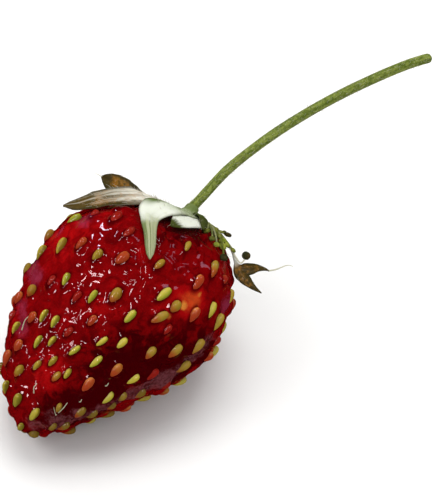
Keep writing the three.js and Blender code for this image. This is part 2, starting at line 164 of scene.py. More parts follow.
POLE = 0.06  # directions aren't taken nearer to a pole than this
STEP, TURN_STEP = 0.05, 0.01  # millimetres and radians to either side


def frame_at(far, turn):
    """The skin's outward direction, the one away from the neck, and round."""
    s = np.clip(far, POLE, MERIDIAN - POLE)
    u = share_at(s)
    ahead = skin(share_at(s + STEP), turn) - skin(share_at(s - STEP), turn)
    around = skin(u, turn + TURN_STEP) - skin(u, turn - TURN_STEP)
    out = unit(np.cross(around, ahead))
    away = skin(u, turn) - np.array([LENGTH * 0.55, 0, 0])
    out = np.where((out * away).sum(-1, keepdims=True) < 0, -out, out)
    return out, unit(ahead), unit(around)


TIP_UP = np.array(
    [
        [math.cos(LIE), 0, -math.sin(LIE)],
        [0, 1, 0],
        [math.sin(LIE), 0, math.cos(LIE)],
    ]
)


def _rest():
    u, turn = np.meshgrid(
        np.arange(241) / 240, np.arange(240) * np.pi / 120, indexing="ij"
    )
    p = (skin(u, turn, 0.0) @ TIP_UP.T).reshape(-1, 3)
    low = p[p[:, 2].argmin()]
    return -low - np.array([0, 0, DENT])


ON_TABLE = _rest()


def lie(points):
    """From the fruit's own frame to the table's, both in millimetres."""
    return points @ TIP_UP.T + ON_TABLE


def lie_along(directions):
    return directions @ TIP_UP.T


def _head():
    """The calyx's frame: z out of the neck, x to the shoulder's high side."""
    z = unit(np.array([1, -LEAN * math.cos(LEAN_TO), -LEAN * math.sin(LEAN_TO)]))
    x = unit(np.array([LEAN, math.cos(LEAN_TO), math.sin(LEAN_TO)]))
    origin = skin(1.0, 0.0) - 0.55 * x
    return x, np.cross(z, x), z, origin


HEAD_X, HEAD_Y, HEAD_Z, HEAD_AT = _head()


def on_head(x, y, z):
    x, y, z = np.broadcast_arrays(*(np.asarray(v, float) for v in (x, y, z)))
    return HEAD_AT + x[..., None] * HEAD_X + y[..., None] * HEAD_Y + z[..., None] * HEAD_Z


def draw(i, salt):
    """A fixed draw between 0 and 1 for a number and a purpose."""
    v = np.sin(np.asarray(i, float) * 127.1 + salt * 311.7) * 43758.5453
    return v - np.floor(v)


def along(points, x):
    """The value at x of a line through (x, y) points."""
    return np.interp(x, [p[0] for p in points], [p[1] for p in points])


def ease(t):
    t = np.clip(t, 0, 1)
    return t * t * (3 - 2 * t)


def grain(points, size, seed=0.0):
    """Smooth noise from -1 to 1 at each point, with features of that size."""
    flat = np.asarray(points, float).reshape(-1, 3) / size + seed
    values = np.array([noise.noise(Vector(p)) for p in flat.tolist()])
    return values.reshape(np.shape(points)[:-1])


def catmull(points, steps):
    """A smooth line through the points."""
    p = np.asarray(points, float)
    p = np.vstack([2 * p[0] - p[1], p, 2 * p[-1] - p[-2]])
    t = np.linspace(0, len(p) - 3, steps)
    i = np.minimum(t.astype(int), len(p) - 4)
    f = (t - i)[:, None]
    a, b, c, d = p[i], p[i + 1], p[i + 2], p[i + 3]
    return 0.5 * (
        2 * b
        + (c - a) * f
        + (2 * a - 5 * b + 4 * c - d) * f**2
        + (3 * b - a - 3 * c + d) * f**3
    )


# ---------------------------------------------------------------------------
# Achenes. Each row: distance walked from the neck, the side it lies to in
# degrees from LEAN_TO, how far its round end is turned from the neck, how
# ripe it is from 0 for a yellow-green one over 2 for one that is orange
# towards its point to 4 for a red one, and its length and breadth as shares of
# the settings'.

ACHENES = (
    (11.7, 206, -32, 0.4, 1.1, 1.3), (13.6, 188, -32, 2.2, 1.0, 1.45),
    (14.1, 215, -4, 0.7, 1.1, 1.12), (15.2, 195, -20, 0.4, 1.1, 1.6),
    (16.7, 180.5, -32, 1.7, 1.0, 1.6), (9.7, 231, 13, 4, 1.1, 1.4),
    (13.2, 228, -13, 3, 0.96, 1.05), (13.2, 241, -6, 1.2, 0.89, 1.16),
    (12.2, 253, -13, 2.9, 0.96, 1.34), (10.2, 245, -1, 3.7, 0.96, 1.05),
    (16.9, 223, -5, 4, 0.89, 1.05), (16.2, 233, 10, 0.2, 1.03, 0.99),
    (18.3, 208, -31, 2.3, 0.89, 1.45), (19.2, 195, -32, 3.0, 0.92, 1.5),
    (20.7, 192, -29, 3.9, 0.82, 1.1), (16.8, 246, -5, 4, 0.89, 1.05),
    (16, 254, 4, 0.1, 0.96, 0.93), (14.8, 264, 4, 1.8, 1.1, 1.4),
    (12.2, 284, -9, 0.1, 1.16, 1.16), (10.7, 271, -7, 1.6, 0.96, 0.99),
    (7.7, 278, 5, 1.1, 0.89, 0.87), (7.6, 304, 6, 2.1, 1.23, 1.16), (9.5, 297, 1, 3, 1.1, 1.28),
    (8.1, 332, 11, 1, 1.03, 1.1), (10.2, 317, 19, 0.6, 1.13, 1.05),
    (10.4, 329, 18, 1, 1.2, 1.28), (11.6, 307, 12, 3, 1.1, 1.16),
    (12.2, 294, 0, 1.7, 0.82, 1.34), (13.7, 291, -16, 1.8, 1.23, 1.28),
    (15.3, 278, 1, 0.1, 1.03, 1.05), (17.5, 263, -1, 3.4, 0.82, 0.99),
    (19.5, 231, -7, 0.2, 0.89, 0.82), (19.4, 242, -4, 0.2, 0.96, 0.93),
    (20.1, 221, -25, 3.3, 0.89, 1.28), (21.5, 204, -32, 0.4, 1.1, 1.05),
    (19.4, 255, -7, 3.8, 0.8, 0.99), (21.5, 237, -8, 0.1, 0.96, 0.87),
    (20.8, 248, -10, 0.6, 0.8, 0.82), (18.2, 276, -12, 0, 0.89, 0.82),
    (17.2, 286, 1, 0.1, 0.89, 0.97), (20.2, 266, -14, 0.2, 0.96, 0.85),
    (22.6, 216, -32, 3.2, 0.99, 1.4), (23.9, 199, -31, 3.3, 1.16, 1.34),
    (23.1, 246, -13, 1, 0.8, 0.82), (22, 257, -10, 1, 0.8, 0.82),
    (19.7, 283, -2, 0, 1.03, 0.93), (24.4, 226, -31, 1.8, 1.03, 1.28),
    (22.8, 267, -6, 2.3, 0.8, 0.93), (22, 273, 6, 0.7, 0.82, 0.82),
    (16.1, 305, 19, 2, 0.99, 1.22), (14.5, 317, 10, 1.9, 1.13, 1.28),
    (12.9, 327, 23, 1.5, 1.23, 1.4), (11.3, 342, -11, 4, 0.8, 1.05),
    (12.5, 347, -20, 3.2, 0.82, 1.1), (14.7, 335, 12, 1.6, 1.2, 1.5),
    (19, 298, 14, 2.6, 1.1, 1.28), (18.5, 314, -1, 0, 0.96, 1.08), (17.1, 322, 5, 4, 1.1, 1.16),
    (21.5, 292, 10, 2.8, 1.16, 1.28), (21, 315, 19, 0.1, 1.03, 0.97),
    (26.1, 199, -32, 0.3, 0.96, 0.99), (26.7, 232, -21, 0.6, 1.23, 1.16),
    (26.7, 275, 3, 0.3, 1.16, 1.05), (28.9, 268, 5, 0.7, 0.82, 0.87),
    (28.2, 332, 32, 1.5, 0.86, 1.3), (24.6, 291, 24, 1.4, 0.8, 0.82),
    (23.6, 312, 16, 1.9, 1.03, 1.16), (22.8, 324, 21, 1.4, 0.86, 0.93),
    (26.2, 311, 23, 1.5, 0.82, 0.93), (25.4, 322, 14, 1.8, 0.96, 0.99),
    (20, 323.5, 29, 1.6, 0.86, 1.1), (18.7, 333.5, 15, 1.7, 1.0, 1.3),
    (21.1, 328, 26, 1.8, 0.82, 0.87), (16.6, 342, 7, 4, 0.82, 0.93),
    (13.9, 300, 11, 3.9, 0.8, 0.99), (7.6, 317, -2, 3.6, 0.8, 0.99),
    (8.8, 261, 12, 4, 0.8, 0.99), (10.5, 218, 14, 4, 0.8, 0.99),
)
UPPER_SIDE = np.array([-0.447, -0.424, 0.788])  # the side that ACHENES is for
ROUND_EDGE, LOW_EDGE = -0.1, 0.04  # where that side ends: how far the skin faces it
FACING_DOWN = -0.4  # LOW_EDGE holds where the skin faces the table more than this
CROWD = 1.15  # achenes of the spiral keep this far from those of ACHENES
NEAR_BLADE = 0.7  # nearer than this to a blade, they stay on that side as well

# ---------------------------------------------------------------------------
# Sepals and bractlets. `line` is the middle of the blade: distance walked from
# the neck, side in degrees from LEAN_TO, height over the flesh. Half width,
# roll in degrees and dryness go against the share of the blade's length; then
# how brown its tip and how pale its base is. `fold` lifts its sides, in degrees.


def blade_of(line, half, brown, pale, roll=((0, 0),), fold=0, dry=((0, 0.0),)):
    return dict(line=line, half=half, brown=brown, pale=pale, roll=roll, fold=fold, dry=dry)


BLADES = (
    blade_of(  # the long folded sepal over the left shoulder
        line=((0.4, 206, 0.0), (1.5, 206, 0.08), (2.5, 207, 0.2), (3.5, 209.5, 0.33),
              (4.2, 212, 0.4), (5, 213, 0.54), (6, 212, 0.75), (7, 208.5, 0.79),
              (8, 206, 0.81), (9, 204.4, 0.82), (9.9, 202, 0.8), (10.6, 198.7, 0.86),
              (11.33, 194.5, 1.19)),
        half=((0, 0.9), (0.22, 1.4), (0.4, 1.45), (0.64, 1.34), (0.77, 1.06), (0.87, 0.70),
              (0.94, 0.42), (1, 0.08)),
        roll=((0, 0), (0.28, -5), (0.42, -14), (0.52, -22), (0.7, -25), (0.85, -34), (1, -45)),
        dry=((0.22, 0.0), (0.36, 1.0)), brown=0.75, pale=0.1,
    ),
    blade_of(  # the broad based sepal that hangs down the front
        line=((0.4, 240, 0.0), (2, 239.5, 0.06), (3.5, 239.5, 0.28), (4.6, 239.5, 0.52),
              (5.6, 239.5, 0.56), (6.6, 241, 0.46), (7.8, 246, 0.4), (9.4, 256.5, 0.36),
              (10.9, 265, 0.36)),
        half=((0, 1.0), (0.24, 1.7), (0.45, 1.62), (0.58, 1.12), (0.66, 0.76), (0.78, 0.54),
              (0.9, 0.44), (0.96, 0.3), (1, 0.06)),
        brown=0.0, pale=1.0,
    ),
    blade_of(  # the brown sepal that stands off to the right
        line=((0.4, 334, 0.12), (2.6, 333, 0.2), (4.29, 331, 0.52), (4.99, 333.6, 0.55),
              (5.52, 336, 0.56), (6.08, 338.3, 0.82), (6.55, 340.1, 1.27),
              (6.94, 341.5, 1.84), (7.21, 342.9, 2.47)),
        half=((0, 0.4), (0.2, 0.2), (0.5, 0.13), (0.62, 0.15), (0.68, 0.46), (0.73, 0.55),
              (0.83, 0.40), (0.92, 0.20), (1, 0.04)),
        roll=((0.42, 0), (0.62, 60), (0.72, 82)),
        dry=((0.6, 0.0), (0.66, 1.0)), brown=1.0, pale=1.5,
    ),
    blade_of(  # its upper tip
        line=((0.4, 336, 0.12), (2.6, 335, 0.2), (4.29, 332, 0.52), (4.99, 333.9, 0.55),
              (5.53, 336.1, 0.6), (5.78, 337.2, 0.9), (5.81, 337.6, 1.5),
              (5.81, 337.8, 2.15), (5.89, 338.6, 2.7), (6, 339.3, 3.08)),
        half=((0, 0.4), (0.2, 0.2), (0.5, 0.13), (0.64, 0.15), (0.7, 0.5), (0.76, 0.53),
              (0.84, 0.44), (0.92, 0.22), (1, 0.04)),
        roll=((0.42, 0), (0.6, 60), (0.7, 84)),
        dry=((0.62, 0.0), (0.68, 1.0)), brown=1.0, pale=1.5,
    ),
    blade_of(  # behind, right
        line=((0.4, 48, 0.12), (3, 48, 0.3), (6, 46, 0.44), (9.4, 44, 0.5)),
        half=((0, 1.0), (0.3, 1.5), (0.6, 1.35), (0.85, 0.8), (1, 0.06)),
        fold=6, dry=((0, 0.4),), brown=0.6, pale=0.5,
    ),
    blade_of(  # behind, left
        line=((0.4, 112, 0.12), (3, 112, 0.3), (6, 110, 0.44), (9.8, 108, 0.6)),
        half=((0, 1.0), (0.3, 1.5), (0.6, 1.35), (0.86, 0.8), (1, 0.06)),
        fold=6, dry=((0, 0.5),), brown=0.6, pale=0.5,
    ),
    blade_of(  # bractlet raised clear of the left shoulder
        line=((0.4, 172, 0.0), (2, 169, 0.06), (3.2, 165, 0.2), (4.12, 160.5, 0.61),
              (4.82, 158.2, 0.93), (5.46, 157.9, 1.33), (6.07, 157.9, 1.79),
              (6.58, 158.1, 2.22), (7.11, 158.8, 2.71), (7.48, 159.4, 3.04)),
        half=((0, 0.6), (0.4, 0.62), (0.56, 0.8), (0.72, 0.96), (0.84, 0.88), (0.92, 0.64),
              (0.97, 0.34), (1, 0.06)),
        roll=((0.3, 0), (0.6, 62), (0.75, 80)),
        dry=((0.3, 0.3), (0.5, 0.9)), brown=1.0, pale=0.2,
    ),
    blade_of(  # short bractlet in front, its tip bent in
        line=((0.4, 264, 0.0), (2.4, 264, 0.08), (4.5, 263, 0.32), (5.9, 261.5, 0.44),
              (7.1, 259.5, 0.4)),
        half=((0, 0.9), (0.32, 1.4), (0.59, 1.3), (0.77, 0.9), (0.9, 0.5), (1, 0.08)),
        brown=0.6, pale=1.6,
    ),
    blade_of(  # narrow one beside the gap
        line=((0.4, 282, 0.3), (1.5, 281.5, 0.46), (3.0, 281.5, 0.54), (4.7, 283.5, 0.38)),
        half=((0, 0.5), (0.3, 0.5), (0.65, 0.44), (0.85, 0.32), (1, 0.08)),
        brown=0.7, pale=0.0,
    ),
    blade_of(  # bractlet behind
        line=((0.4, 80, 0.12), (3, 80, 0.3), (5, 79, 0.5), (7, 78, 1.0)),
        half=((0, 0.7), (0.4, 0.8), (0.7, 0.62), (1, 0.06)),
        dry=((0, 0.5),), brown=0.8, pale=0.3,
    ),
    blade_of(  # short bractlet between the two on the right
        line=((0.4, 12, 0.12), (3, 14, 0.3), (5.4, 18, 0.42)),
        half=((0, 0.7), (0.4, 0.8), (0.75, 0.6), (1, 0.06)),
        dry=((0, 0.6),), brown=0.8, pale=0.3,
    ),
)
RAISED = BLADES[6]  # the raised bractlet, which ends in an awn
COLLAR = (  # radius and height of the calyx's disc in the calyx's frame
    (0.0, -0.3), (1.1, -0.3), (1.7, -0.2), (1.9, -0.08), (1.65, 0.04),
    (1.15, 0.16), (0.8, 0.32), (0.6, 0.6), (0.48, 1.0), (0.0, 1.1),
)

# The stalk's line in the calyx's frame, (x, z), from the disc to the cut.
STALK_LINE = (
    (-0.12, 0.45), (0.0, 1.02), (0.14, 1.5), (0.36, 2.52), (0.65, 3.96), (1.01, 5.32),
    (1.7, 7.12), (2.67, 9.43), (3.75, 11.57), (5.36, 14.46), (7.43, 17.59), (9.6, 20.55),
    (10.94, 21.93),
)
SMOOTHINGS = 130  # passes that take the kinks out of it
WORN_FROM = 0.985  # share of it from which the cut end is worn round

# Withered stamens: side at the rim, side at the end, length, height at the
# end, anther radius, and 0 for a black anther to 1 for a yellow-green one.
STAMENS = (
    (303, 306, 0.6, 0.42, 0.24, 0.5), (306, 313, 1.0, 0.4, 0.27, 0.5),
    (308, 319, 0.85, 0.85, 0.34, 0.0), (310, 312, 1.5, 0.35, 0.24, 0.8),
    (312, 321.5, 1.5, 0.5, 0.34, 1.0), (317, 324.5, 2.1, 0.75, 0.22, 0.6),
    (305, 309, 0.3, 0.5, 0.2, 0.5), (309, 317, 1.3, 0.5, 0.27, 1.0),
    (313, 318, 0.5, 0.75, 0.2, 0.1), (308, 305, 1.1, 0.3, 0.2, 0.3),
    (311, 315, 1.9, 0.3, 0.28, 1.0), (292, 290, 1.56, 0.3, 0.26, 0.4),
    (296, 298, 2.1, 0.3, 0.25, 0.3), (300, 303, 2.4, 0.3, 0.26, 0.9),
    (308, 312.5, 3.1, 0.3, 0.34, 0.0),
)
RIM_FAR, RIM_HIGH = 2.55, 0.45  # their feet: distance from the neck, height
# The pale strand that one more anther hangs on: distance, side, height.
STRAND = (
    (3.6, 320.5, 0.45), (4.55, 324.6, 0.59), (5.0, 328.5, 0.7), (5.42, 332.8, 0.91),
    (5.38, 332.4, 1.2), (5.18, 331.4, 1.45),
)
STRAND_ANTHER = 0.35  # its radius
# The awn of the right sepal, in the fruit's frame.
AWN = (
    (22.4, -7.6, -0.84), (22.74, -7.88, -0.91), (23.05, -8.09, -0.95),
    (23.36, -8.25, -0.97), (23.66, -8.42, -0.99), (23.86, -8.61, -1.05),
    (23.98, -8.86, -1.14),
)
# Dried styles that are still on, each a line of distance, side and height.
STYLES = (
    ((23.68, 291.9, 0.38), (24.32, 293.4, 0.48), (25.24, 296.4, 0.22)),
    ((24.77, 285.9, 0.42), (25.0, 291.0, 0.42), (25.24, 296.4, 0.22)),
    ((19.78, 219.9, 0.3), (20.47, 215.9, 0.38), (21.33, 213.4, 0.2)),
    ((24.19, 254.9, 0.35), (24.58, 254.4, 0.42), (25.1, 256.4, 0.2)),
    ((22.6, 298.0, 0.42), (22.8, 299.3, 0.4), (23.0, 301.0, 0.12)),
    ((20.1, 301.5, 0.4), (20.3, 302.6, 0.38), (20.5, 304.0, 0.12)),
)


# ---------------------------------------------------------------------------
# Node trees, written as expressions


class Wire:
    """An output of a node. Python's operators on it add Math nodes."""

    def __init__(self, graph, socket):
        self.graph, self.socket = graph, socket

    def __add__(self, other):
        return self.graph.maths("ADD", self, other)

    def __radd__(self, other):
        return self.graph.maths("ADD", other, self)

    def __sub__(self, other):
        return self.graph.maths("SUBTRACT", self, other)

    def __rsub__(self, other):
        return self.graph.maths("SUBTRACT", other, self)

    def __mul__(self, other):
        return self.graph.maths("MULTIPLY", self, other)

    def __rmul__(self, other):
        return self.graph.maths("MULTIPLY", other, self)


class Graph:
    """A node tree that is added to by one call for each node."""

    def __init__(self, tree):
        self.tree = tree

    def feed(self, socket, value):
        if isinstance(value, Wire):
            self.tree.links.new(value.socket, socket)
        elif socket.type == "RGBA" and len(value) == 3:
            socket.default_value = (*value, 1)
        else:
            socket.default_value = value

    def node(self, kind, settings=None, values=(), out=0):
        """A node's settings first, then its sockets by place or name."""
        node = self.tree.nodes.new(kind)
        for key, value in (settings or {}).items():
            setattr(node, key, value)
        live = [s for s in node.inputs if s.enabled]
        pairs = values.items() if isinstance(values, dict) else enumerate(values)
        for key, value in pairs:
            if isinstance(key, str):
                socket = next(s for s in live if s.name == key)
            else:
                socket = live[key]
            if value is not None:
                self.feed(socket, value)
        outs = [s for s in node.outputs if s.enabled]
        if isinstance(out, str):
            return Wire(self, next(s for s in outs if s.name == out))
        return Wire(self, outs[out]) if outs else None

    def maths(self, operation, *values):
        return self.node("ShaderNodeMath", {"operation": operation}, values)

    def vector(self, operation, *values):
        return self.node("ShaderNodeVectorMath", {"operation": operation}, values)

    def scale(self, vector, by):
        return self.vector("SCALE", vector, by)

    def combine(self, x, y, z):
        return self.node("ShaderNodeCombineXYZ", None, (x, y, z))

    def separate(self, vector, axis):
        return self.node("ShaderNodeSeparateXYZ", None, (vector,), axis)

    def blend(self, factor, a, b):
        """A colour between a and b."""
        return self.node("ShaderNodeMix", {"data_type": "RGBA"}, (factor, a, b))

    def step(self, value, low, high):
        """0 at low and 1 at high, eased between them."""
        return self.node(
            "ShaderNodeMapRange", {"interpolation_type": "SMOOTHSTEP"}, (value, low, high)
        )

    def noise(self, where, size, detail=2.0, rough=0.5, warp=0.0):
        """Noise from 0 to 1 with features of that size in `where`'s unit."""
        values = {
            "Vector": where, "Scale": 1 / size, "Detail": detail,
            "Roughness": rough, "Distortion": warp,
        }
        return self.node("ShaderNodeTexNoise", None, values)

    def held(self, name, out="Fac"):
        """A shader's reading of a mesh attribute."""
        return self.node("ShaderNodeAttribute", {"attribute_name": name}, (), out)

    def named(self, name, kind="FLOAT"):
        """A geometry tree's reading of an attribute."""
        return self.node("GeometryNodeInputNamedAttribute", {"data_type": kind}, (name,))

    def stored(self, geometry, name, value, kind="FLOAT", domain="POINT"):
        """The geometry with an attribute added."""
        return self.node(
            "GeometryNodeStoreNamedAttribute", {"data_type": kind, "domain": domain},
            {"Geometry": geometry, "Name": name, "Value": value},
        )

    def random(self, low, high, seed, kind="FLOAT"):
        """A seeded draw for each element."""
        values = {"Min": low, "Max": high, "Seed": seed}
        return self.node("FunctionNodeRandomValue", {"data_type": kind}, values)

    def facing(self):
        """A turn that takes Z to a point's `out` and Y to its `back`."""
        out, back = self.named("out", "FLOAT_VECTOR"), self.named("back", "FLOAT_VECTOR")
        turn = self.node("FunctionNodeAlignRotationToVector", {"axis": "Z"}, {"Vector": out})
        return self.node(
            "FunctionNodeAlignRotationToVector", {"axis": "Y", "pivot_axis": "Z"},
            {"Rotation": turn, "Vector": back},
        )

    def placed(self, points, form, turn, scale):
        """The form on each point."""
        form = self.node("GeometryNodeObjectInfo", None, (form,), "Geometry")
        return self.node(
            "GeometryNodeInstanceOnPoints", None,
            {"Points": points, "Instance": form, "Rotation": turn, "Scale": scale},
        )

    def millimetres(self):
        """Object coordinates in millimetres."""
        place = self.node("ShaderNodeTexCoord", None, (), "Object")
        return self.scale(place, 1 / MM)

    def near(self, where, centre, radius):
        """1 at a place and 0 at a distance from it."""
        return 1 - self.step(self.vector("DISTANCE", where, centre), 0, radius)

    def bump(self, height, distance, strength=1.0):
        values = {"Height": height, "Distance": distance, "Strength": strength}
        return self.node("ShaderNodeBump", None, values)


def glows(weight, radius, scale):
    """A shader's constants for light that soaks in, the scale in millimetres."""
    return {
        "Subsurface Weight": weight, "Subsurface Radius": radius,
        "Subsurface Scale": scale * MM,
    }


def finish_of(name, constants, build):
    """A material: constants go on the shader, build(graph) gives the links."""
    material = bpy.data.materials.new(name)
    material.use_nodes = True
    material.node_tree.nodes.clear()
    graph = Graph(material.node_tree)
    shader = graph.node("ShaderNodeBsdfPrincipled", None, {**constants, **build(graph)})
    graph.node("ShaderNodeOutputMaterial", None, {"Surface": shader})
    return material


def geometry_tree(name, *inputs):
    """A geometry tree with named inputs, and a wire from each of them."""
    tree = bpy.data.node_groups.new(name, "GeometryNodeTree")
    tree.interface.new_socket("Geometry", in_out="INPUT", socket_type="NodeSocketGeometry")
    for label, kind, default in inputs:
        socket = tree.interface.new_socket(
            label, in_out="INPUT", socket_type="NodeSocket" + kind
        )
        if default is not None:
            socket.default_value = default
    tree.interface.new_socket("Geometry", in_out="OUTPUT", socket_type="NodeSocketGeometry")
    graph = Graph(tree)
    entry = tree.nodes.new("NodeGroupInput")
    return graph, {s.name: Wire(graph, s) for s in entry.outputs if s.name}


def end_tree(graph, geometry, material):
    real = graph.node("GeometryNodeRealizeInstances", None, (geometry,))
    painted = graph.node(
        "GeometryNodeSetMaterial", None, {"Geometry": real, "Material": material}
    )
    graph.node("NodeGroupOutput", None, (painted,))
    return graph.tree


# ---------------------------------------------------------------------------
# Meshes


def mesh_of(name, points, faces, edges=(), outward=True, **attributes):
    """A smooth mesh from points in millimetres, with values at its points."""
    mesh = bpy.data.meshes.new(name)
    mesh.from_pydata((np.asarray(points) * MM).tolist(), list(edges), list(faces))
    for key, values in attributes.items():
        values = np.asarray(values, np.float32)
        kind, field = ("FLOAT", "value") if values.ndim == 1 else ("FLOAT_VECTOR", "vector")
        layer = mesh.attributes.new(key, kind, "POINT")
        layer.data.foreach_set(field, values.ravel())
    if faces:
        if outward:
            body = bmesh.new()
            body.from_mesh(mesh)
            bmesh.ops.recalc_face_normals(body, faces=body.faces)
            body.to_mesh(mesh)
            body.free()
        mesh.polygons.foreach_set("use_smooth", [True] * len(mesh.polygons))
    mesh.update()
    return mesh


def piece_of(name, mesh, material=None):
    piece = bpy.data.objects.new(name, mesh)
    bpy.context.scene.collection.objects.link(piece)
    if material is not None:
        mesh.materials.clear()
        mesh.materials.append(material)
    return piece


def grown(name, mesh, tree, **values):
    """What a geometry tree makes of a mesh, kept as a plain mesh object."""
    source = bpy.data.objects.new(name + "_source", mesh)
    modifier = source.modifiers.new("Tree", "NODES")
    modifier.node_group = tree
    for item in tree.interface.items_tree:
        key = item.name.replace(" ", "_").lower()
        if item.in_out == "INPUT" and key in values:
            modifier[item.identifier] = values.pop(key)
    if values:
        raise RuntimeError(f"{tree.name} has no inputs {sorted(values)}")
    bpy.context.scene.collection.objects.link(source)
    graph = bpy.context.evaluated_depsgraph_get()
    made = bpy.data.meshes.new_from_object(
        source.evaluated_get(graph), preserve_all_data_layers=True, depsgraph=graph
    )
    made.name = name
    bpy.data.objects.remove(source)
    if not made.polygons:
        raise RuntimeError(f"{name} came out empty")
    return piece_of(name, made)


def sown(name, mesh, tree, form, **values):
    """What a tree makes of a mesh by repeating a form over it."""
    form = piece_of(form.name, form)
    piece = grown(name, mesh, tree, form=form, **values)
    bpy.data.objects.remove(form)
    return piece


def belongs(piece, slot, *nodes):
    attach(piece, "root")
    if nodes:
        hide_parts(*nodes)


def ring_faces(rows, columns):
    """Quads over rows of closed rings, and a fan to the last point at each end."""
    faces = []
    for i in range(rows - 1):
        a, b = i * columns, (i + 1) * columns
        for j in range(columns):
            k = (j + 1) % columns
            faces.append((a + j, a + k, b + k, b + j))
    first, last = rows * columns, rows * columns + 1
    end = (rows - 1) * columns
    for j in range(columns):
        k = (j + 1) % columns
        faces.append((first, k, j))
        faces.append((last, end + j, end + k))
    return faces


def over_skin(line):
    """Points from rows of distance, side and height over the flesh."""
    far, side, high = np.asarray(line, float).T
    turn = LEAN_TO + side * RAD
    return skin(share_at(far), turn) + frame_at(far, turn)[0] * high[:, None]


# ---------------------------------------------------------------------------
# The lines of the blades


def spine_of(blade, shares):
    """A blade's middle at shares of its length: place, out, foot, high, length."""
    key = catmull(blade["line"], 160)
    far, turn = np.maximum(key[:, 0], 0.02), LEAN_TO + key[:, 1] * RAD
    out, foot = frame_at(far, turn)[0], skin(share_at(far), turn)
    place = foot + out * key[:, 2:]
    gone = np.cumsum(np.r_[0, np.linalg.norm(np.diff(place, axis=0), axis=1)])
    at = np.asarray(shares) * gone[-1]
    columns = np.concatenate([place, out, foot, key[:, 2:]], 1)
    value = np.stack([np.interp(at, gone, c) for c in columns.T], 1)
    return value[:, :3], unit(value[:, 3:6]), value[:, 6:9], value[:, 9], gone[-1]


def sides_of(ahead, out, high):
    """A blade's sideways directions: level with the skin while it's low, and
    carried along without a twist where it stands off."""
    level, carried = unit(np.cross(out, ahead)), []
    for i, way in enumerate(ahead):
        if i:
            kept = unit(carried[-1] - way * (carried[-1] @ way))
            free = ease((high[i] - 0.5) / 0.4)
            carried.append(unit(level[i] * (1 - free) + kept * free))
        else:
            carried.append(level[0])
    return np.array(carried)


SHADING_HEIGHT = 1.1  # a blade shades the flesh up to this height over it


def _shade():
    """Places on the skin under the blades, and each one's reach."""
    under, reach = [], []
    for blade in BLADES:
        shares = np.linspace(0, 1, 40)
        _, _, foot, high, _ = spine_of(blade, shares)
        low = high < SHADING_HEIGHT
        under.append(foot[low])
        reach.append(along(blade["half"], shares)[low])
    return np.vstack(under), np.concatenate(reach)


UNDER, REACH = _shade()


def beside(points):
    """Distance over the skin from each point to the nearest blade's edge."""
    gap = [
        (np.linalg.norm(block[:, None] - UNDER[None], axis=-1) - REACH).min(1)
        for block in np.array_split(points, max(1, len(points) // 2000))
    ]
    return np.concatenate(gap)


# ---------------------------------------------------------------------------
# Achene places and the flesh's relief


def spiral_places():
    """Equal weighted area for each achene, closer towards the tip."""
    far = MERIDIAN - np.arange(501) / 500 * (MERIDIAN - BARE)
    u = share_at(far)
    area = np.cumsum(girth(u) * (1 + CLOSER * (1 - u) ** CLOSER_POWER))
    area[0] = 0
    i = np.arange(SPIRAL)
    s = np.interp((i + 0.6) / SPIRAL * area[-1], area, far)
    s = s + STRAY_FAR * (draw(i, 1) - 0.5)
    r = np.maximum(0.4, girth(share_at(s)))
    turn = i * GOLDEN + STRAY_ROUND * (draw(i, 2) - 0.5) / r
    return np.minimum(MERIDIAN - 0.25, s), turn % (2 * math.pi)


def achene_places():
    """Distance, turn, skew, ripeness, length and breadth of every achene."""
    table = np.array(ACHENES, float)
    far, turn = table[:, 0], LEAN_TO + table[:, 1] * RAD
    own = skin(share_at(far), turn)
    s, t = spiral_places()
    p = skin(share_at(s), t)
    gap = np.linalg.norm(p[:, None] - own[None], axis=-1).min(1)
    out = lie_along(frame_at(s, t)[0])
    edge = np.where(out[:, 2] < FACING_DOWN, LOW_EDGE, ROUND_EDGE)
    shown = out @ UPPER_SIDE > edge
    under = beside(p) < NEAR_BLADE
    keep = (gap > CROWD) & (~shown | under)
    k = np.flatnonzero(keep)
    # Their turn, ripeness and size are drawn, much like those of the table.
    skew = 28 * (draw(k, 3) - 0.5)
    ripe = 4 * draw(k, 6) ** 1.6
    long, broad = 0.8 + 0.35 * draw(k, 10), 0.85 + 0.35 * draw(k, 11)
    more = np.stack([s[k], t[k], skew, ripe, long, broad], 1)
    first = np.column_stack([far, turn, table[:, 2:]])
    return np.vstack([first, more])


def achene_frames(places):
    """Centre, out, back and across of each achene in the fruit's frame."""
    far, turn, skew = places[:, 0], places[:, 1], places[:, 2] * RAD
    out, ahead, _ = frame_at(far, turn)
    side = np.cross(out, -ahead)
    back = -ahead * np.cos(skew)[:, None] + side * np.sin(skew)[:, None]
    across = unit(np.cross(back, out))
    return skin(share_at(far), turn), out, unit(np.cross(out, across)), across


def swells(places, sizes):
    """Height of the flesh's swelling under each achene, more under ripe ones."""
    number = np.arange(len(places))
    return sizes.swell_height / MM * (0.7 + 0.5 * draw(number, 9) + 0.1 * places[:, 3])


STRAY, STRAY_SIZE, STRAY_SEEDS = 0.3, 1.3, (21.0, 37.0, 53.0)  # of the cells' walls


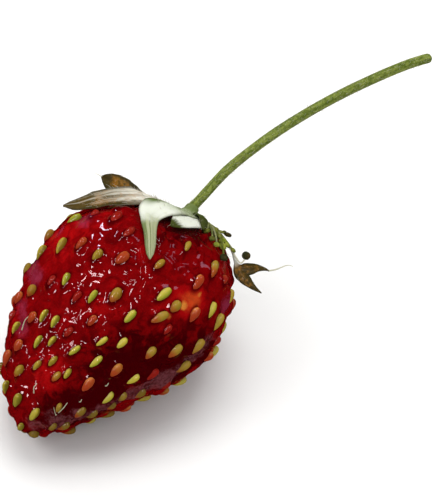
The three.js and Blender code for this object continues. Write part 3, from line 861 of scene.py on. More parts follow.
def relief(points, places, sizes):
    """Height of the flesh over its plain form, where in its cell it is, and
    how near to an achene's foot."""
    centre, out, back, across = achene_frames(places)
    number = np.arange(len(places))
    seat = sizes.seat_depth / MM * (0.5 + draw(number, 7))
    swell = swells(places, sizes)
    ridge = sizes.ridge_height / MM
    half = places[:, [5, 4]] * np.array([sizes.achene_width, sizes.achene_length]) / MM / 2
    strayed = points + STRAY * np.stack(
        [grain(points, STRAY_SIZE, seed) for seed in STRAY_SEEDS], -1
    )
    strength = 0.55 + 0.9 * grain(points, 1.7, 71.0)  # folds are uneven
    heights, cells, feet = [], [], []
    for block, strays, strong in zip(
        *(np.array_split(whole, 64) for whole in (points, strayed, strength))
    ):
        d = np.linalg.norm(strays[:, None] - centre[None], axis=-1)
        two = np.partition(d, 1, axis=1)[:, :2]
        cell = two[:, 0] / two[:, 1]  # 0 in its middle, 1 on the wall to the next
        d = np.linalg.norm(block[:, None] - centre[None], axis=-1)
        one = d.argmin(1)
        near = np.take_along_axis(d, one[:, None], 1)[:, 0]
        off = block - centre[one]
        a = (off * across[one]).sum(-1) / half[one, 0]
        b = (off * back[one]).sum(-1) / half[one, 1]
        round_ = np.hypot(a, b)  # 1 on the achene's own outline
        rim = np.exp(-(((round_ - 1.0) / 0.5) ** 2))
        collar = sizes.collar_height / MM * rim * (0.25 + 0.75 * ease(0.5 - 0.8 * b))
        mound = swell[one] * np.exp(-((near / (0.62 + 0.2 * places[one, 4])) ** 2.4))
        bowl = -seat[one] * ease((cell - 0.35) / 0.3) * (1 - ease((cell - 0.75) / 0.25))
        fold = ridge * strong * ease((cell - 0.4) / 0.6)
        heights.append(mound + bowl + collar + fold)
        cells.append(cell)
        feet.append(np.exp(-((np.maximum(0, round_ - 0.95) / 0.36) ** 2)))
    return np.concatenate(heights), np.concatenate(cells), np.concatenate(feet)


# ---------------------------------------------------------------------------
# Settings


def length_of(name, description, millimetres):
    return FloatProperty(
        name=name, description=description, default=millimetres * MM,
        min=0.0, precision=5, unit="LENGTH",
    )


def colour_of(name, description, colour):
    return FloatVectorProperty(
        name=name, description=description, default=colour, size=3,
        min=0.0, max=1.0, subtype="COLOR",
    )


class StrawberrySizes(bpy.types.PropertyGroup):
    """Sizes of the strawberry's fine parts"""

    achene_length: length_of("Achene length", "Length of one achene", 1.36)
    achene_width: length_of("Achene width", "Width of one achene", 0.59)
    achene_depth: length_of("Achene depth", "Thickness of one achene", 0.74)
    swell_height: length_of("Swell height", "Swelling of the flesh under an achene", 0.22)
    seat_depth: length_of("Seat depth", "Depth of the groove between achenes", 0.05)
    ridge_height: length_of("Ridge height", "Height of the folds between achenes", 0.07)
    collar_height: length_of("Collar height", "Flesh that climbs an achene's point", 0.1)
    sepal_thickness: length_of("Sepal thickness", "Thickness of sepals and bractlets", 0.2)
    stalk_radius: length_of("Stalk radius", "Radius of the stalk", 0.405)
    filament_radius: length_of("Filament radius", "Radius of a stamen's filament", 0.1)
    hair_length: length_of("Hair length", "Length of the calyx's hairs", 0.55)
    sepal_hairs: FloatProperty(
        name="Sepal hairs", description="Hairs on a square millimetre of sepal",
        default=7.0, min=0.0, soft_max=30.0,
    )
    stalk_hairs: FloatProperty(
        name="Stalk hairs", description="Hairs on a square millimetre of stalk",
        default=9.0, min=0.0, soft_max=30.0,
    )
    seed: IntProperty(
        name="Seed", description="Seed of the draws for hairs and achenes", default=3, min=0
    )


class StrawberryColours(bpy.types.PropertyGroup):
    """Colours of the strawberry's parts"""

    bright_flesh: colour_of("Bright flesh", "Flesh where it is brightest", (0.40, 0.003, 0.004))
    flesh: colour_of("Flesh", "Ripe flesh", (0.20, 0.001, 0.002))
    # This also carries the painted shade between the swellings and round the achenes.
    dark_flesh_and_shade: colour_of("Dark flesh", "Flesh nearly black with ripeness", (0.050, 0.0, 0.001))
    pale_flesh: colour_of("Pale flesh", "Patches that aren't ripe yet", (0.66, 0.085, 0.015))
    # A painted sheen: mauve reflections put into the flesh's colour.
    painted_sheen: colour_of("Sheen", "Mauve bloom on the flesh", (0.30, 0.035, 0.085))
    achene: colour_of("Achene", "Yellow-green achene", (0.47, 0.39, 0.035))
    # Olive, and painted shade on the side of an achene turned from the light.
    olive_achene: colour_of("Olive achene", "Darker side of an achene", (0.17, 0.12, 0.006))
    ripe_achene: colour_of("Ripe achene", "Achene that ripens", (0.36, 0.046, 0.008))
    red_achene: colour_of("Red achene", "Achene under a film of flesh", (0.27, 0.008, 0.003))
    sepal: colour_of("Sepal", "Fresh sepal", (0.15, 0.19, 0.065))
    sepal_base: colour_of("Sepal base", "Bleached base of the sepals", (0.74, 0.77, 0.67))
    dry_sepal: colour_of("Dry sepal", "Silvery fibres of a withered sepal", (0.74, 0.72, 0.62))
    brown_sepal: colour_of("Brown sepal", "Withered, between its fibres", (0.078, 0.05, 0.005))
    stalk: colour_of("Stalk", "Stalk", (0.085, 0.125, 0.009))
    stamen: colour_of("Stamen", "Blackened anther", (0.018, 0.024, 0.004))
    hair: colour_of("Hair", "Silvery hairs", (0.62, 0.60, 0.50))
    floor: colour_of("Floor", "Floor", (0.95, 0.95, 0.95))


class StrawberryOperator:
    """What the operators share"""

    bl_options = {"REGISTER", "UNDO"}

    def execute(self, context):
        scene = context.scene
        self.make(scene.strawberry_sizes, scene.strawberry_colours)
        return {"FINISHED"}


# ---------------------------------------------------------------------------
# Finishes


# Places in millimetres, with the reach of each and how strong it is there.
# Darker places: partly riper flesh, partly painted shade on the lower side.
DARK_AND_SHADED_PLACES = (
    ((-3.4, -5.0, 9.2), 5.4, 0.56), ((-6.6, -4.2, 5.6), 4.6, 0.6),
    ((7.4, -1.2, 14.2), 4.2, 0.50), ((1.0, -7.0, 8.2), 4.4, 0.40),
    ((-8.4, -2.4, 6.9), 2.6, 0.34), ((0.5, -7.0, 6.3), 3.6, 0.5),
    ((3.0, -7.4, 7.4), 2.8, 0.4), ((-9.3, -1.8, 4.7), 2.4, 0.35),
)
# Brighter places: partly paler flesh, partly painted light on the upper side.
BRIGHT_AND_LIT_PLACES = (
    ((0.5, 5.7, 13.5), 4.6, 0.36), ((-4.4, 6.0, 8.8), 4.0, 0.28),
    ((-8.0, -0.9, 9.0), 2.6, 0.42), ((-2.5, -1.5, 13.7), 3.2, 0.12),
    ((3.0, 2.7, 15.6), 3.0, 0.12),
)
PALE_PLACES = (
    ((2.5, -5.8, 12.6), 2.3, 0.8), ((4.1, -6.0, 12.3), 1.7, 0.6),
    ((2.0, -4.9, 13.6), 1.8, 0.36), ((3.2, -6.2, 12.3), 2.0, 0.9),
    ((0.5, -5.2, 12.9), 1.7, 0.75), ((2.5, -1.6, 15.4), 1.7, 0.8),
    ((-8.3, -1.3, 8.1), 1.7, 0.55), ((5.9, -3.9, 13.6), 1.5, 0.4),
    ((-3.0, 7.2, 7.0), 2.6, 0.5), ((-0.1, -5.7, 11.8), 1.3, 0.45),
)
PALE_SPOTS = (
    ((2.3, -5.9, 12.5), 0.8, 0.9), ((4.1, -6.0, 12.4), 0.6, 0.6),
    ((0.8, -5.65, 12.4), 0.7, 0.6), ((0.2, -6.0, 11.5), 0.8, 0.6),
)
# The dull mauve film along the low side, darkened further as painted shade near the table.
FILM_AND_SHADE_PLACES = (
    ((-8.7, -2.9, 4.5), 1.7, 0.9), ((-7.5, -3.7, 4.8), 1.7, 0.9),
    ((-6.2, -4.5, 5.2), 1.7, 0.9), ((-5.0, -5.1, 5.7), 1.7, 0.95),
    ((-3.8, -5.7, 6.0), 1.7, 1.0), ((-2.5, -6.1, 6.1), 1.7, 1.0),
    ((-1.2, -6.5, 6.3), 1.7, 1.0), ((0.1, -6.9, 6.5), 1.7, 0.95),
    ((1.3, -7.2, 6.9), 1.6, 0.9), ((2.4, -7.4, 7.5), 1.6, 0.9),
    ((3.6, -7.4, 8.1), 1.5, 0.8), ((-1.6, -6.2, 7.6), 1.3, 0.6),
    ((-9.9, -1.2, 4.4), 1.6, 0.8), ((-8.9, -2.4, 5.7), 1.5, 0.7),
    ((-7.6, -3.3, 6.2), 1.3, 0.6),
)
# Painted sheen: mauve reflections put into the flesh's colour.
PAINTED_SHEEN_PLACES = (
    ((7.9, 0.6, 13.9), 2.2, 0.9), ((-2.3, 6.4, 10.9), 2.0, 0.7),
    ((1.9, 4.1, 14.8), 1.8, 0.7), ((6.6, -6.9, 9.3), 2.0, 0.8),
    ((-6.3, 3.3, 9.6), 1.8, 0.6), ((-3.2, 4.9, 11.7), 1.7, 0.7),
    ((0.9, 5.9, 13.1), 1.6, 0.6), ((-5.1, 4.5, 10.0), 1.5, 0.6),
)


# Shades that the finishes mix in beside the panel's colours.
ORANGE_SPOT = (0.80, 0.30, 0.045)
# The film's painted shade in its folds.
FILM_FOLD_SHADE = (0.06, 0.010, 0.010)
FILM = (0.19, 0.055, 0.065)
GREEN_ACHENE = (0.26, 0.33, 0.02)
# A painted highlight on the lit side of an achene.
PAINTED_HIGHLIGHT_ACHENE = (0.68, 0.60, 0.16)
BROWN_ACHENE = (0.26, 0.115, 0.010)
# Painted shade on achenes near the table.
SHADED_LOW_ACHENE = (0.08, 0.042, 0.004)
# A lighter rim, with a painted highlight on the lit side.
ACHENE_RIM_AND_HIGHLIGHT = (0.62, 0.21, 0.05)
RED_POINT = (0.34, 0.035, 0.007)
DARK_POINT = (0.12, 0.02, 0.004)
SEPAL_STRIPE = (0.40, 0.43, 0.25)
SEPAL_TIP = (0.05, 0.065, 0.007)
HEART = (0.12, 0.17, 0.035)
HEART_DOWN = (0.40, 0.47, 0.27)
UMBER = (0.045, 0.028, 0.003)
AMBER = (0.40, 0.165, 0.008)
SEPAL_FOLD = (0.10, 0.15, 0.022)
SEPAL_EDGE = (0.035, 0.028, 0.004)
SEPAL_DOWN = (0.75, 0.74, 0.66)
STALK_STREAK = (0.23, 0.28, 0.05)
STALK_MOTTLE = (0.12, 0.13, 0.02)
STALK_DOWN = (0.42, 0.46, 0.30)
STALK_FOOT = (0.10, 0.125, 0.05)
FILAMENT = (0.09, 0.11, 0.012)
FILAMENT_LIGHT = (0.26, 0.27, 0.07)
BLEACHED = (0.66, 0.64, 0.50)
BROWN_ANTHER = (0.07, 0.04, 0.008)
GREEN_ANTHER = (0.15, 0.20, 0.012)
GREEN_ANTHER_LIGHT = (0.36, 0.37, 0.06)
HAIR_SHADE = (0.42, 0.40, 0.28)
# Painted shade darkens achenes under this height.
SHADE_UNDER = 7.6  # achenes are darker below this height over the table


def flesh_finish(colours):
    def build(g):
        place = g.millimetres()
        cell, foot = g.held("cell"), g.held("foot")
        broad = g.noise(place, 3.4, 3.0, 0.55, 0.5)
        blotch = g.noise(place, 1.0, 3.0, 0.62, 0.9)
        ripple = g.noise(place, 0.95, 2.0, 0.5, 0.8)
        wrinkle = g.noise(place, 0.34, 2.0, 0.55, 1.4)
        crumb = g.noise(place, 0.13, 1.0, 0.5, 0.4)

        def spots(places):
            found = 0.0
            for centre, reach, strength in places:
                found = found + g.near(place, centre, reach) * strength
            return found

        # From nearly black over ripe to bright: partly ripeness, partly painted shade on the
        # lower side and painted light on the upper side.
        level = 0.12 + broad * 0.30 + g.step(blotch, 0.34, 0.66) * 0.34
        level = level + spots(BRIGHT_AND_LIT_PLACES) - spots(DARK_AND_SHADED_PLACES)
        colour = g.blend(g.step(level, 0.02, 0.46), colours.dark_flesh_and_shade, colours.flesh)
        colour = g.blend(g.step(level, 0.44, 0.95), colour, colours.bright_flesh)
        # Patches that aren't ripe yet, and orange spots in them.
        patch = (0.4 + broad * 0.4 + blotch * 0.55) * spots(PALE_PLACES)
        colour = g.blend(g.step(patch, 0.2, 0.75) * 0.9, colour, colours.bright_flesh)
        colour = g.blend(g.step(patch, 0.7, 1.5) * 0.7, colour, colours.pale_flesh)
        spot = g.step(spots(PALE_SPOTS) + wrinkle * 0.5, 0.55, 1.1)
        colour = g.blend(spot * 0.8, colour, ORANGE_SPOT)
        # Painted shade between the swellings and round the achenes' feet.
        deep = g.step(cell, 0.6, 1.0) * 0.2 * blotch + foot * 0.88
        colour = g.blend(deep, colour, colours.dark_flesh_and_shade)
        # The painted mauve sheen, and the duller film along the low side, which is also painted
        # shade near the table, darkest in its folds.
        painted_sheen = g.step(spots(PAINTED_SHEEN_PLACES) + blotch * 0.5 + wrinkle * 0.6, 0.75, 1.35)
        colour = g.blend(painted_sheen * 0.55, colour, colours.painted_sheen)
        film = g.step(spots(FILM_AND_SHADE_PLACES) + wrinkle * 0.6 + blotch * 1.5, 1.35, 2.0)
        raised = g.step(wrinkle + blotch * 0.5, 0.55, 0.95)
        mauve = g.blend(raised, FILM_FOLD_SHADE, FILM)
        colour = g.blend(film * 0.65, colour, mauve)
        height = crumb * 0.16 + wrinkle * 0.40 + ripple * 0.44
        normal = g.bump(height, 0.27 * MM)
        return {
            "Base Color": colour, "Roughness": 0.35 + 0.2 * blotch, "Normal": normal,
        }

    constants = {
        **glows(0.12, (1.0, 0.12, 0.08), 0.7), "IOR": 1.4, "Specular IOR Level": 0.0,
        "Coat Weight": 0.85, "Coat Roughness": 0.055, "Coat IOR": 1.38,
    }
    return finish_of("wet_ripe_flesh", constants, build)


def achene_finish(colours):
    def build(g):
        place = g.millimetres()
        ripe, tip, odd = g.held("ripe"), g.held("tip"), g.held("odd")
        rim, lee = g.held("rim"), g.held("lee")
        mottle = g.noise(place, 0.3, 2.0, 0.6)
        # Painted shade on one side and at the sides of each achene, on an olive that is partly
        # its own.
        shaded = g.step(rim * 0.35 + lee * 0.6 + mottle * 0.45 + odd * 0.15, 0.55, 1.15)
        yellow = g.blend(shaded, colours.achene, colours.olive_achene)
        green = g.step(odd + mottle * 0.5, 0.65, 1.1) * g.step(lee, 0.2, 0.6)
        yellow = g.blend(green * 0.6, yellow, GREEN_ACHENE)
        # A painted highlight on the lit side.
        pale = g.step(0.58 - lee - rim * 0.1 + mottle * 0.3, 0.3, 0.7)
        yellow = g.blend(pale * 0.4, yellow, PAINTED_HIGHLIGHT_ACHENE)
        olive = g.step(ripe * 3.0 + mottle * 0.6, 0.5, 1.3)
        yellow = g.blend(olive * 0.7, yellow, BROWN_ACHENE)
        # Painted shade near the table.
        low = g.step(SHADE_UNDER - g.separate(place, 2), 0.0, 1.6) * (0.2 + olive * 0.4)
        yellow = g.blend(low, yellow, SHADED_LOW_ACHENE)
        # Ripe ones are dark red within a lighter rim, and a painted highlight on the lit side.
        edge = rim * 0.5 + (1 - lee) * 0.4 - tip * 0.35 + mottle * 0.45
        orange = g.blend(g.step(edge, 0.55, 1.1), colours.ripe_achene, ACHENE_RIM_AND_HIGHLIGHT)
        colour = g.blend(g.step(ripe, 0.52, 0.74), yellow, orange)
        # Ripe ones redden from their point.
        red = g.step(tip + mottle * 0.3 + ripe * 0.8, 0.85, 1.25) * g.step(ripe, 0.3, 0.48)
        colour = g.blend(red * 0.8, colour, RED_POINT)
        colour = g.blend(g.step(ripe + mottle * 0.1, 0.86, 1.0), colour, colours.red_achene)
        colour = g.blend(g.step(tip, 0.88, 1.0) * 0.5, colour, DARK_POINT)
        veins = g.noise(place, 0.12, 2.0, 0.5, 0.5)
        normal = g.bump(veins, 0.05 * MM, 0.4)
        return {"Base Color": colour, "Roughness": 0.3 + 0.25 * mottle, "Normal": normal}

    constants = {
        **glows(0.08, (1.0, 0.6, 0.2), 0.2), "Specular IOR Level": 0.06,
        "Coat Weight": 0.7, "Coat Roughness": 0.09,
    }
    return finish_of("achene_rind", constants, build)


def sepal_finish(colours):
    def build(g):
        along_, across = g.held("along"), g.held("across")
        dry, brown, pale = g.held("dry"), g.held("brown"), g.held("pale")
        side = g.held("side")
        place = g.millimetres()
        lines = g.combine(across, along_ * 0.16, side)
        vein = g.noise(lines, 0.3, 3.0, 0.65, 0.25)
        threads = g.combine(across * 2.0, along_ * 1.1, side)
        fibre = g.noise(threads, 0.3, 3.0, 0.65, 0.5)
        coarse = g.noise(place, 1.3, 3.0, 0.6, 0.6)
        fine = g.noise(place, 0.22, 2.0, 0.6)
        # Fresh: grey-green stripes, bleached towards the base.
        fresh = g.blend(g.step(vein, 0.40, 0.62), colours.sepal, SEPAL_STRIPE)
        reach = along_ + coarse * 0.16 + vein * 0.16 - pale * 0.3
        base = 1 - g.step(reach, 0.44, 0.60)
        dark = g.step(along_ + brown * 1.6 - 0.8, 0.55, 0.85)
        fresh = g.blend(dark * brown * 2.0, fresh, SEPAL_TIP)
        fresh = g.blend(pale * base, fresh, colours.sepal_base)
        # Green again close to the stalk.
        heart = 1 - g.step(along_ + g.step(pale, 1.02, 1.1) * 0.4, 0.28, 0.50)
        frost = g.step(fine + coarse * 0.5, 0.5, 1.0) * pale
        grey = g.blend(frost, HEART, HEART_DOWN)
        fresh = g.blend(heart * 0.85, fresh, grey)
        # Withered: brown between silvery fibres, browner towards the tip.
        silver = fibre * 0.75 + vein * 0.5 + coarse * 0.3
        silver = g.step(silver - along_ * 0.4 - across * 0.05 + 0.14, 0.56, 0.72)
        worn = g.blend(silver, colours.brown_sepal, colours.dry_sepal)
        tip = g.step(along_ + coarse * 0.5 + brown * 0.9 - 1.0, 0.3, 0.72) * brown
        worn = g.blend(tip * 0.85, worn, colours.brown_sepal)
        umber = g.step(brown, 0.8, 1.0)
        worn = g.blend(umber * 0.6, worn, UMBER)
        # Amber patches on the brownest, though not at the very tip.
        glow = coarse * 0.8 + fine * 0.4 + vein * 0.25 - g.step(along_, 0.86, 1.0) * 0.3
        glow = g.step(glow, 0.66, 0.92) * brown * brown
        worn = g.blend(glow * 0.75, worn, AMBER)
        colour = g.blend(dry, fresh, worn)
        # The fold along the upper side of the sepals' bases stays green.
        green = g.step(0 - across, 0.1, 0.6) * (1 - g.step(along_, 0.42, 0.56)) * (1 - dry)
        colour = g.blend(green, colour, SEPAL_FOLD)
        width = g.maths("ABSOLUTE", across)
        edge = g.step(width + brown * dry * 0.22, 0.8, 1.05) * (0.5 + 0.4 * brown * dry)
        colour = g.blend(edge, colour, SEPAL_EDGE)
        colour = g.blend(g.step(fine, 0.55, 0.8) * 0.08, colour, SEPAL_DOWN)
        normal = g.bump(vein * 0.5 + fibre * 0.5 + fine * 0.2, 0.12 * MM, 0.7)
        return {
            "Base Color": colour, "Roughness": 0.55 + 0.25 * coarse, "Normal": normal,
        }

    constants = {**glows(0.06, (0.6, 0.8, 0.3), 0.3), "Specular IOR Level": 0.12}
    return finish_of("downy_sepal", constants, build)


def stalk_finish(colours):
    def build(g):
        round_ = g.held("round", "Vector")
        along_ = g.held("along")
        place = g.millimetres()
        lines = g.combine(g.separate(round_, 0), g.separate(round_, 1), along_ * 3.0)
        streak = g.noise(lines, 0.42, 3.0, 0.6, 0.2)
        mottle = g.noise(place, 1.6, 3.0, 0.6)
        fine = g.noise(place, 0.14, 2.0, 0.6)
        speck = g.noise(place, 0.32, 3.0, 0.65, 0.6)
        colour = g.blend(
            g.step(streak * 0.4 + speck * 0.6, 0.40, 0.62), colours.stalk, STALK_STREAK
        )
        colour = g.blend(g.step(mottle, 0.45, 0.75) * 0.3, colour, STALK_MOTTLE)
        colour = g.blend(g.step(fine, 0.56, 0.75) * 0.45, colour, STALK_DOWN)
        foot = 1 - g.step(along_ + speck * 0.04, 0.05, 0.14)
        colour = g.blend(foot * 0.5, colour, STALK_FOOT)
        normal = g.bump(streak * 0.7 + fine * 0.3, 0.08 * MM, 0.6)
        return {"Base Color": colour, "Roughness": 0.42 + 0.2 * streak, "Normal": normal}

    constants = {**glows(0.08, (0.5, 0.8, 0.2), 0.3), "Specular IOR Level": 0.15}
    return finish_of("green_stalk", constants, build)


def stamen_finish(colours):
    def build(g):
        anther, tint, bleached = g.held("anther"), g.held("tint"), g.held("bleached")
        mottle = g.noise(g.millimetres(), 0.3, 3.0, 0.6)
        thread = g.blend(g.step(mottle, 0.4, 0.7), FILAMENT, FILAMENT_LIGHT)
        thread = g.blend(bleached, thread, BLEACHED)
        dark = g.blend(g.step(mottle, 0.4, 0.75), colours.stamen, BROWN_ANTHER)
        ripe = g.blend(g.step(mottle, 0.35, 0.7), GREEN_ANTHER, GREEN_ANTHER_LIGHT)
        colour = g.blend(anther, thread, g.blend(tint, dark, ripe))
        normal = g.bump(mottle, 0.08 * MM, 0.7)
        return {"Base Color": colour, "Roughness": 0.45 + 0.3 * mottle, "Normal": normal}

    return finish_of("withered_stamen", {"Specular IOR Level": 0.12}, build)


def hair_finish(colours):
    def build(g):
        tint = g.noise(g.millimetres(), 0.8, 1.0)
        colour = g.blend(tint, colours.hair, HAIR_SHADE)
        return {"Base Color": colour, "Roughness": 0.35 + 0.2 * tint}

    return finish_of("silvery_hair", {"Specular IOR Level": 0.5}, build)


# ---------------------------------------------------------------------------
# Geometry trees and the forms that they repeat


def achene_form(sizes):
    """One achene about the origin: +Y its round end, +Z outwards."""
    rings, columns = 7, 10
    s = np.array([0.045, 0.17, 0.34, 0.52, 0.7, 0.86, 0.965])
    # Pointed at one end and round at the other.
    wide = s**0.62 * (1 - s) ** 0.42 * 2.02
    deep = s**0.6 * (1 - s) ** 0.42 * 2.0
    turn = 2 * np.pi * np.arange(columns) / columns
    x = wide[:, None] * np.cos(turn) * sizes.achene_width / 2
    z = deep[:, None] * np.sin(turn) * sizes.achene_depth / 2
    y = np.repeat((s - 0.5)[:, None] * sizes.achene_length, columns, 1)
    points = np.stack([x, y, z], -1).reshape(-1, 3)
    ends = np.array([[0, -0.5, 0], [0, 0.5, 0]]) * sizes.achene_length
    tip = np.concatenate([np.repeat(1 - s, columns), [1, 0]])
    rim = np.concatenate([np.tile(np.abs(np.cos(turn)) ** 2, rings), [1, 1]])
    # 1 on the side of each achene that its finish darkens as painted shade.
    lee = np.concatenate([np.tile((1 + np.cos(turn)) / 2, rings), [0.5, 0.5]])
    return mesh_of(
        "achene_form", np.vstack([points, ends]) / MM, ring_faces(rings, columns),
        tip=tip, rim=rim, lee=lee,
    )


def achene_tree():
    """An achene at each point, turned to its out and back directions."""
    g, wire = geometry_tree(
        "Achenes on points",
        ("Form", "Object", None),
        ("Stretch", "Float", 0.05),
        ("Seed", "Int", 0),
        ("Finish", "Material", None),
    )
    low, high = 1 - wire["Stretch"], 1 + wire["Stretch"]
    scale = g.combine(*(g.random(low, high, wire["Seed"] + k) for k in (1, 2, 3)))
    scale = g.vector("MULTIPLY", scale, g.named("size", "FLOAT_VECTOR"))
    made = g.placed(wire["Geometry"], wire["Form"], g.facing(), scale)
    odd = g.random(0.0, 1.0, wire["Seed"] + 4)
    made = g.stored(made, "odd", odd, domain="INSTANCE")
    real = g.node("GeometryNodeRealizeInstances", None, (made,))
    # None goes through the table.
    where = g.node("GeometryNodeInputPosition")
    x, y, z = (g.separate(where, k) for k in range(3))
    level = g.combine(x, y, g.maths("MAXIMUM", z, 0.0))
    real = g.node("GeometryNodeSetPosition", None, {"Geometry": real, "Position": level})
    return end_tree(g, real, wire["Finish"])


def hair_form():
    """One hair, a length of 1 up Z and bent towards X, with three sides."""
    rows, columns = 4, 3
    thick, taper, bend, drop, root = 0.026, 0.75, 0.22, 0.08, 0.03
    points = []
    for i in range(rows):
        t = i / rows
        r = thick * (1 - taper * t)
        for j in range(columns):
            a = 2 * math.pi * j / columns
            x, y = bend * t * t + r * math.cos(a), r * math.sin(a)
            points.append((x, y, t * (1 - drop * t)))
    points += [(0, 0, -root), (bend, 0, 1 - drop)]
    return mesh_of("hair_form", np.array(points) / MM, ring_faces(rows, columns))


def hair_tree():
    """Hairs all over a surface, laid over the way its `lean` points."""
    g, wire = geometry_tree(
        "Hairs on a surface",
        ("Form", "Object", None),
        ("Density", "Float", 1e6),
        ("Length", "Float", 0.0005),
        ("Lean", "Float", 0.8),
        ("Spread", "Float", 0.5),
        ("Seed", "Int", 0),
        ("Finish", "Material", None),
    )
    density = wire["Density"] * g.named("hairy")
    places = g.node(
        "GeometryNodeDistributePointsOnFaces", {"distribute_method": "RANDOM"},
        {"Mesh": wire["Geometry"], "Density": density, "Seed": wire["Seed"]},
    )
    normal = Wire(g, places.socket.node.outputs["Normal"])
    lean = g.scale(g.named("lean", "FLOAT_VECTOR"), wire["Lean"])
    spread = g.random((-1, -1, -1), (1, 1, 1), wire["Seed"] + 1, "FLOAT_VECTOR")
    way = g.vector("ADD", g.vector("ADD", normal, lean), g.scale(spread, wire["Spread"]))
    turn = g.node("FunctionNodeAlignRotationToVector", {"axis": "Z"}, {"Vector": way})
    spin = g.combine(0.0, 0.0, g.random(0.0, 2 * math.pi, wire["Seed"] + 2))
    spin = g.node("FunctionNodeEulerToRotation", None, (spin,))
    turn = g.node("FunctionNodeRotateRotation", {"rotation_space": "LOCAL"}, (turn, spin))
    size = g.random(0.45, 1.25, wire["Seed"] + 3)
    made = g.placed(places, wire["Form"], turn, size * wire["Length"])
    return end_tree(g, made, wire["Finish"])


def sweep_tree():
    """Tubes along the input's edges, as thick as its `thick` says, with ribs."""
    g, wire = geometry_tree(
        "Tubes along lines",
        ("Sides", "Int", 12),
        ("Ribs", "Float", 0.0),
        ("Rib depth", "Float", 0.0),
        ("Twist", "Float", 0.0),
        ("Finish", "Material", None),
    )
    line = g.node("GeometryNodeMeshToCurve", None, {"Mesh": wire["Geometry"]})
    far = g.node("GeometryNodeSplineParameter", None, (), "Factor")
    line = g.node(
        "GeometryNodeSetCurveTilt", None, {"Curve": line, "Tilt": far * wire["Twist"]}
    )
    line = g.stored(line, "lean", g.node("GeometryNodeInputTangent"), "FLOAT_VECTOR")
    ring = g.node(
        "GeometryNodeCurvePrimitiveCircle", {"mode": "RADIUS"},
        {"Resolution": wire["Sides"], "Radius": 1.0},
    )
    turn = g.node("GeometryNodeSplineParameter", None, (), "Factor") * (2 * math.pi)
    circle = g.combine(g.maths("COSINE", turn), g.maths("SINE", turn), 0.0)
    ring = g.stored(ring, "round", circle, "FLOAT_VECTOR")
    rib = 1 + g.maths("COSINE", turn * wire["Ribs"]) * wire["Rib depth"]
    ring = g.node(
        "GeometryNodeSetPosition", None, {"Geometry": ring, "Position": g.scale(circle, rib)}
    )
    tube = g.node(
        "GeometryNodeCurveToMesh", None,
        {"Curve": line, "Profile Curve": ring, "Scale": g.named("thick"), "Fill Caps": True},
    )
    return end_tree(g, tube, wire["Finish"])


def lines_mesh(name, lines, thick, **attributes):
    """Polylines in the fruit's frame as one mesh of edges for sweep_tree."""
    points, edges, radii, share = [], [], [], []
    for line, radius in zip(lines, thick):
        start = len(points)
        points.extend(lie(np.asarray(line)).tolist())
        edges.extend((start + i, start + i + 1) for i in range(len(line) - 1))
        radii.extend(np.broadcast_to(radius, len(line)) * MM)
        share.extend(np.linspace(0, 1, len(line)))
    return mesh_of(
        name, points, (), edges, thick=radii, along=share, **attributes
    )


# ---------------------------------------------------------------------------
# The pieces


class STRAWBERRY_OT_flesh(StrawberryOperator, bpy.types.Operator):
    """Make the flesh, which swells under each achene"""

    bl_idname = "strawberry.flesh"
    bl_label = "Flesh"

    ROWS, COLUMNS = 300, 318
    UNEVEN = ((3.3, 5.0, 0.10), (1.1, 9.0, 0.10), (0.5, 13.0, 0.045))  # size, seed, height

    def make(self, sizes, colours):
        rows, columns = self.ROWS, self.COLUMNS
        far = np.arange(1, rows) / rows * MERIDIAN
        turn = 2 * np.pi * np.arange(columns) / columns
        far, turn = np.meshgrid(far, turn, indexing="ij")
        plain = skin(share_at(far), turn)
        out = frame_at(far, turn)[0]
        flat = plain.reshape(-1, 3)
        height, cell, foot = relief(flat, achene_places(), sizes)
        for size, seed, rise in self.UNEVEN:
            height = height + rise * grain(flat, size, seed)
        far = far.ravel()
        # Smooth and lower under the calyx, and plain at both poles.
        pressed = 1 - ease((beside(flat) + 0.1) / 0.5)
        height = height * (1 - pressed) - 0.07 * pressed
        fade = ease(far / 1.6) * ease((MERIDIAN - far) / 0.35)
        points = flat + out.reshape(-1, 3) * (height * fade)[:, None]
        points = np.vstack([points, skin(1.0, 0.0), skin(0.0, 0.0)])
        points = lie(points)
        points[:, 2] = np.maximum(points[:, 2], 0)
        cell = np.concatenate([cell, [0.9, 0.5]])
        # Nearness to an achene's foot, which the finish darkens as painted shade; it fades
        # under the calyx.
        foot = np.concatenate([foot * (1 - pressed), [0, 0]])
        faces = ring_faces(rows - 1, columns)
        mesh = mesh_of("flesh", points, faces, cell=cell, foot=foot)
        belongs(piece_of("flesh", mesh, flesh_finish(colours)), "fruit", "fruit")


class STRAWBERRY_OT_achenes(StrawberryOperator, bpy.types.Operator):
    """Set the achenes in the flesh"""

    bl_idname = "strawberry.achenes"
    bl_label = "Achenes"

    def make(self, sizes, colours):
        places = achene_places()
        centre, out, back, across = achene_frames(places)
        # Each is tilted a little, with its round end higher.
        tilt = (8 + 8 * draw(np.arange(len(places)), 8))[:, None] * RAD
        up = out * np.cos(tilt) - back * np.sin(tilt)
        back = back * np.cos(tilt) + out * np.sin(tilt)
        under = beside(centre) < 0.5
        sunk = 0.08 * ease(places[:, 3] - 3)
        proud = np.where(under, PRESSED, swells(places, sizes) + PROUD - sunk)
        proud = proud - sizes.achene_depth / MM / 2
        points = lie(centre + out * proud[:, None])
        size = np.column_stack([places[:, [5, 4]], np.ones(len(places))])
        mesh = mesh_of(
            "achene_places", points, (),
            out=lie_along(up), back=lie_along(back), ripe=places[:, 3] / 4, size=size,
        )
        piece = sown(
            "achenes", mesh, achene_tree(), achene_form(sizes), seed=sizes.seed,
            finish=achene_finish(colours),
        )
        belongs(piece, "fruit")


ROW_STEP = 0.11  # millimetres between a blade's rows of points
BROAD = 1.2  # blades of more than this half width have more columns


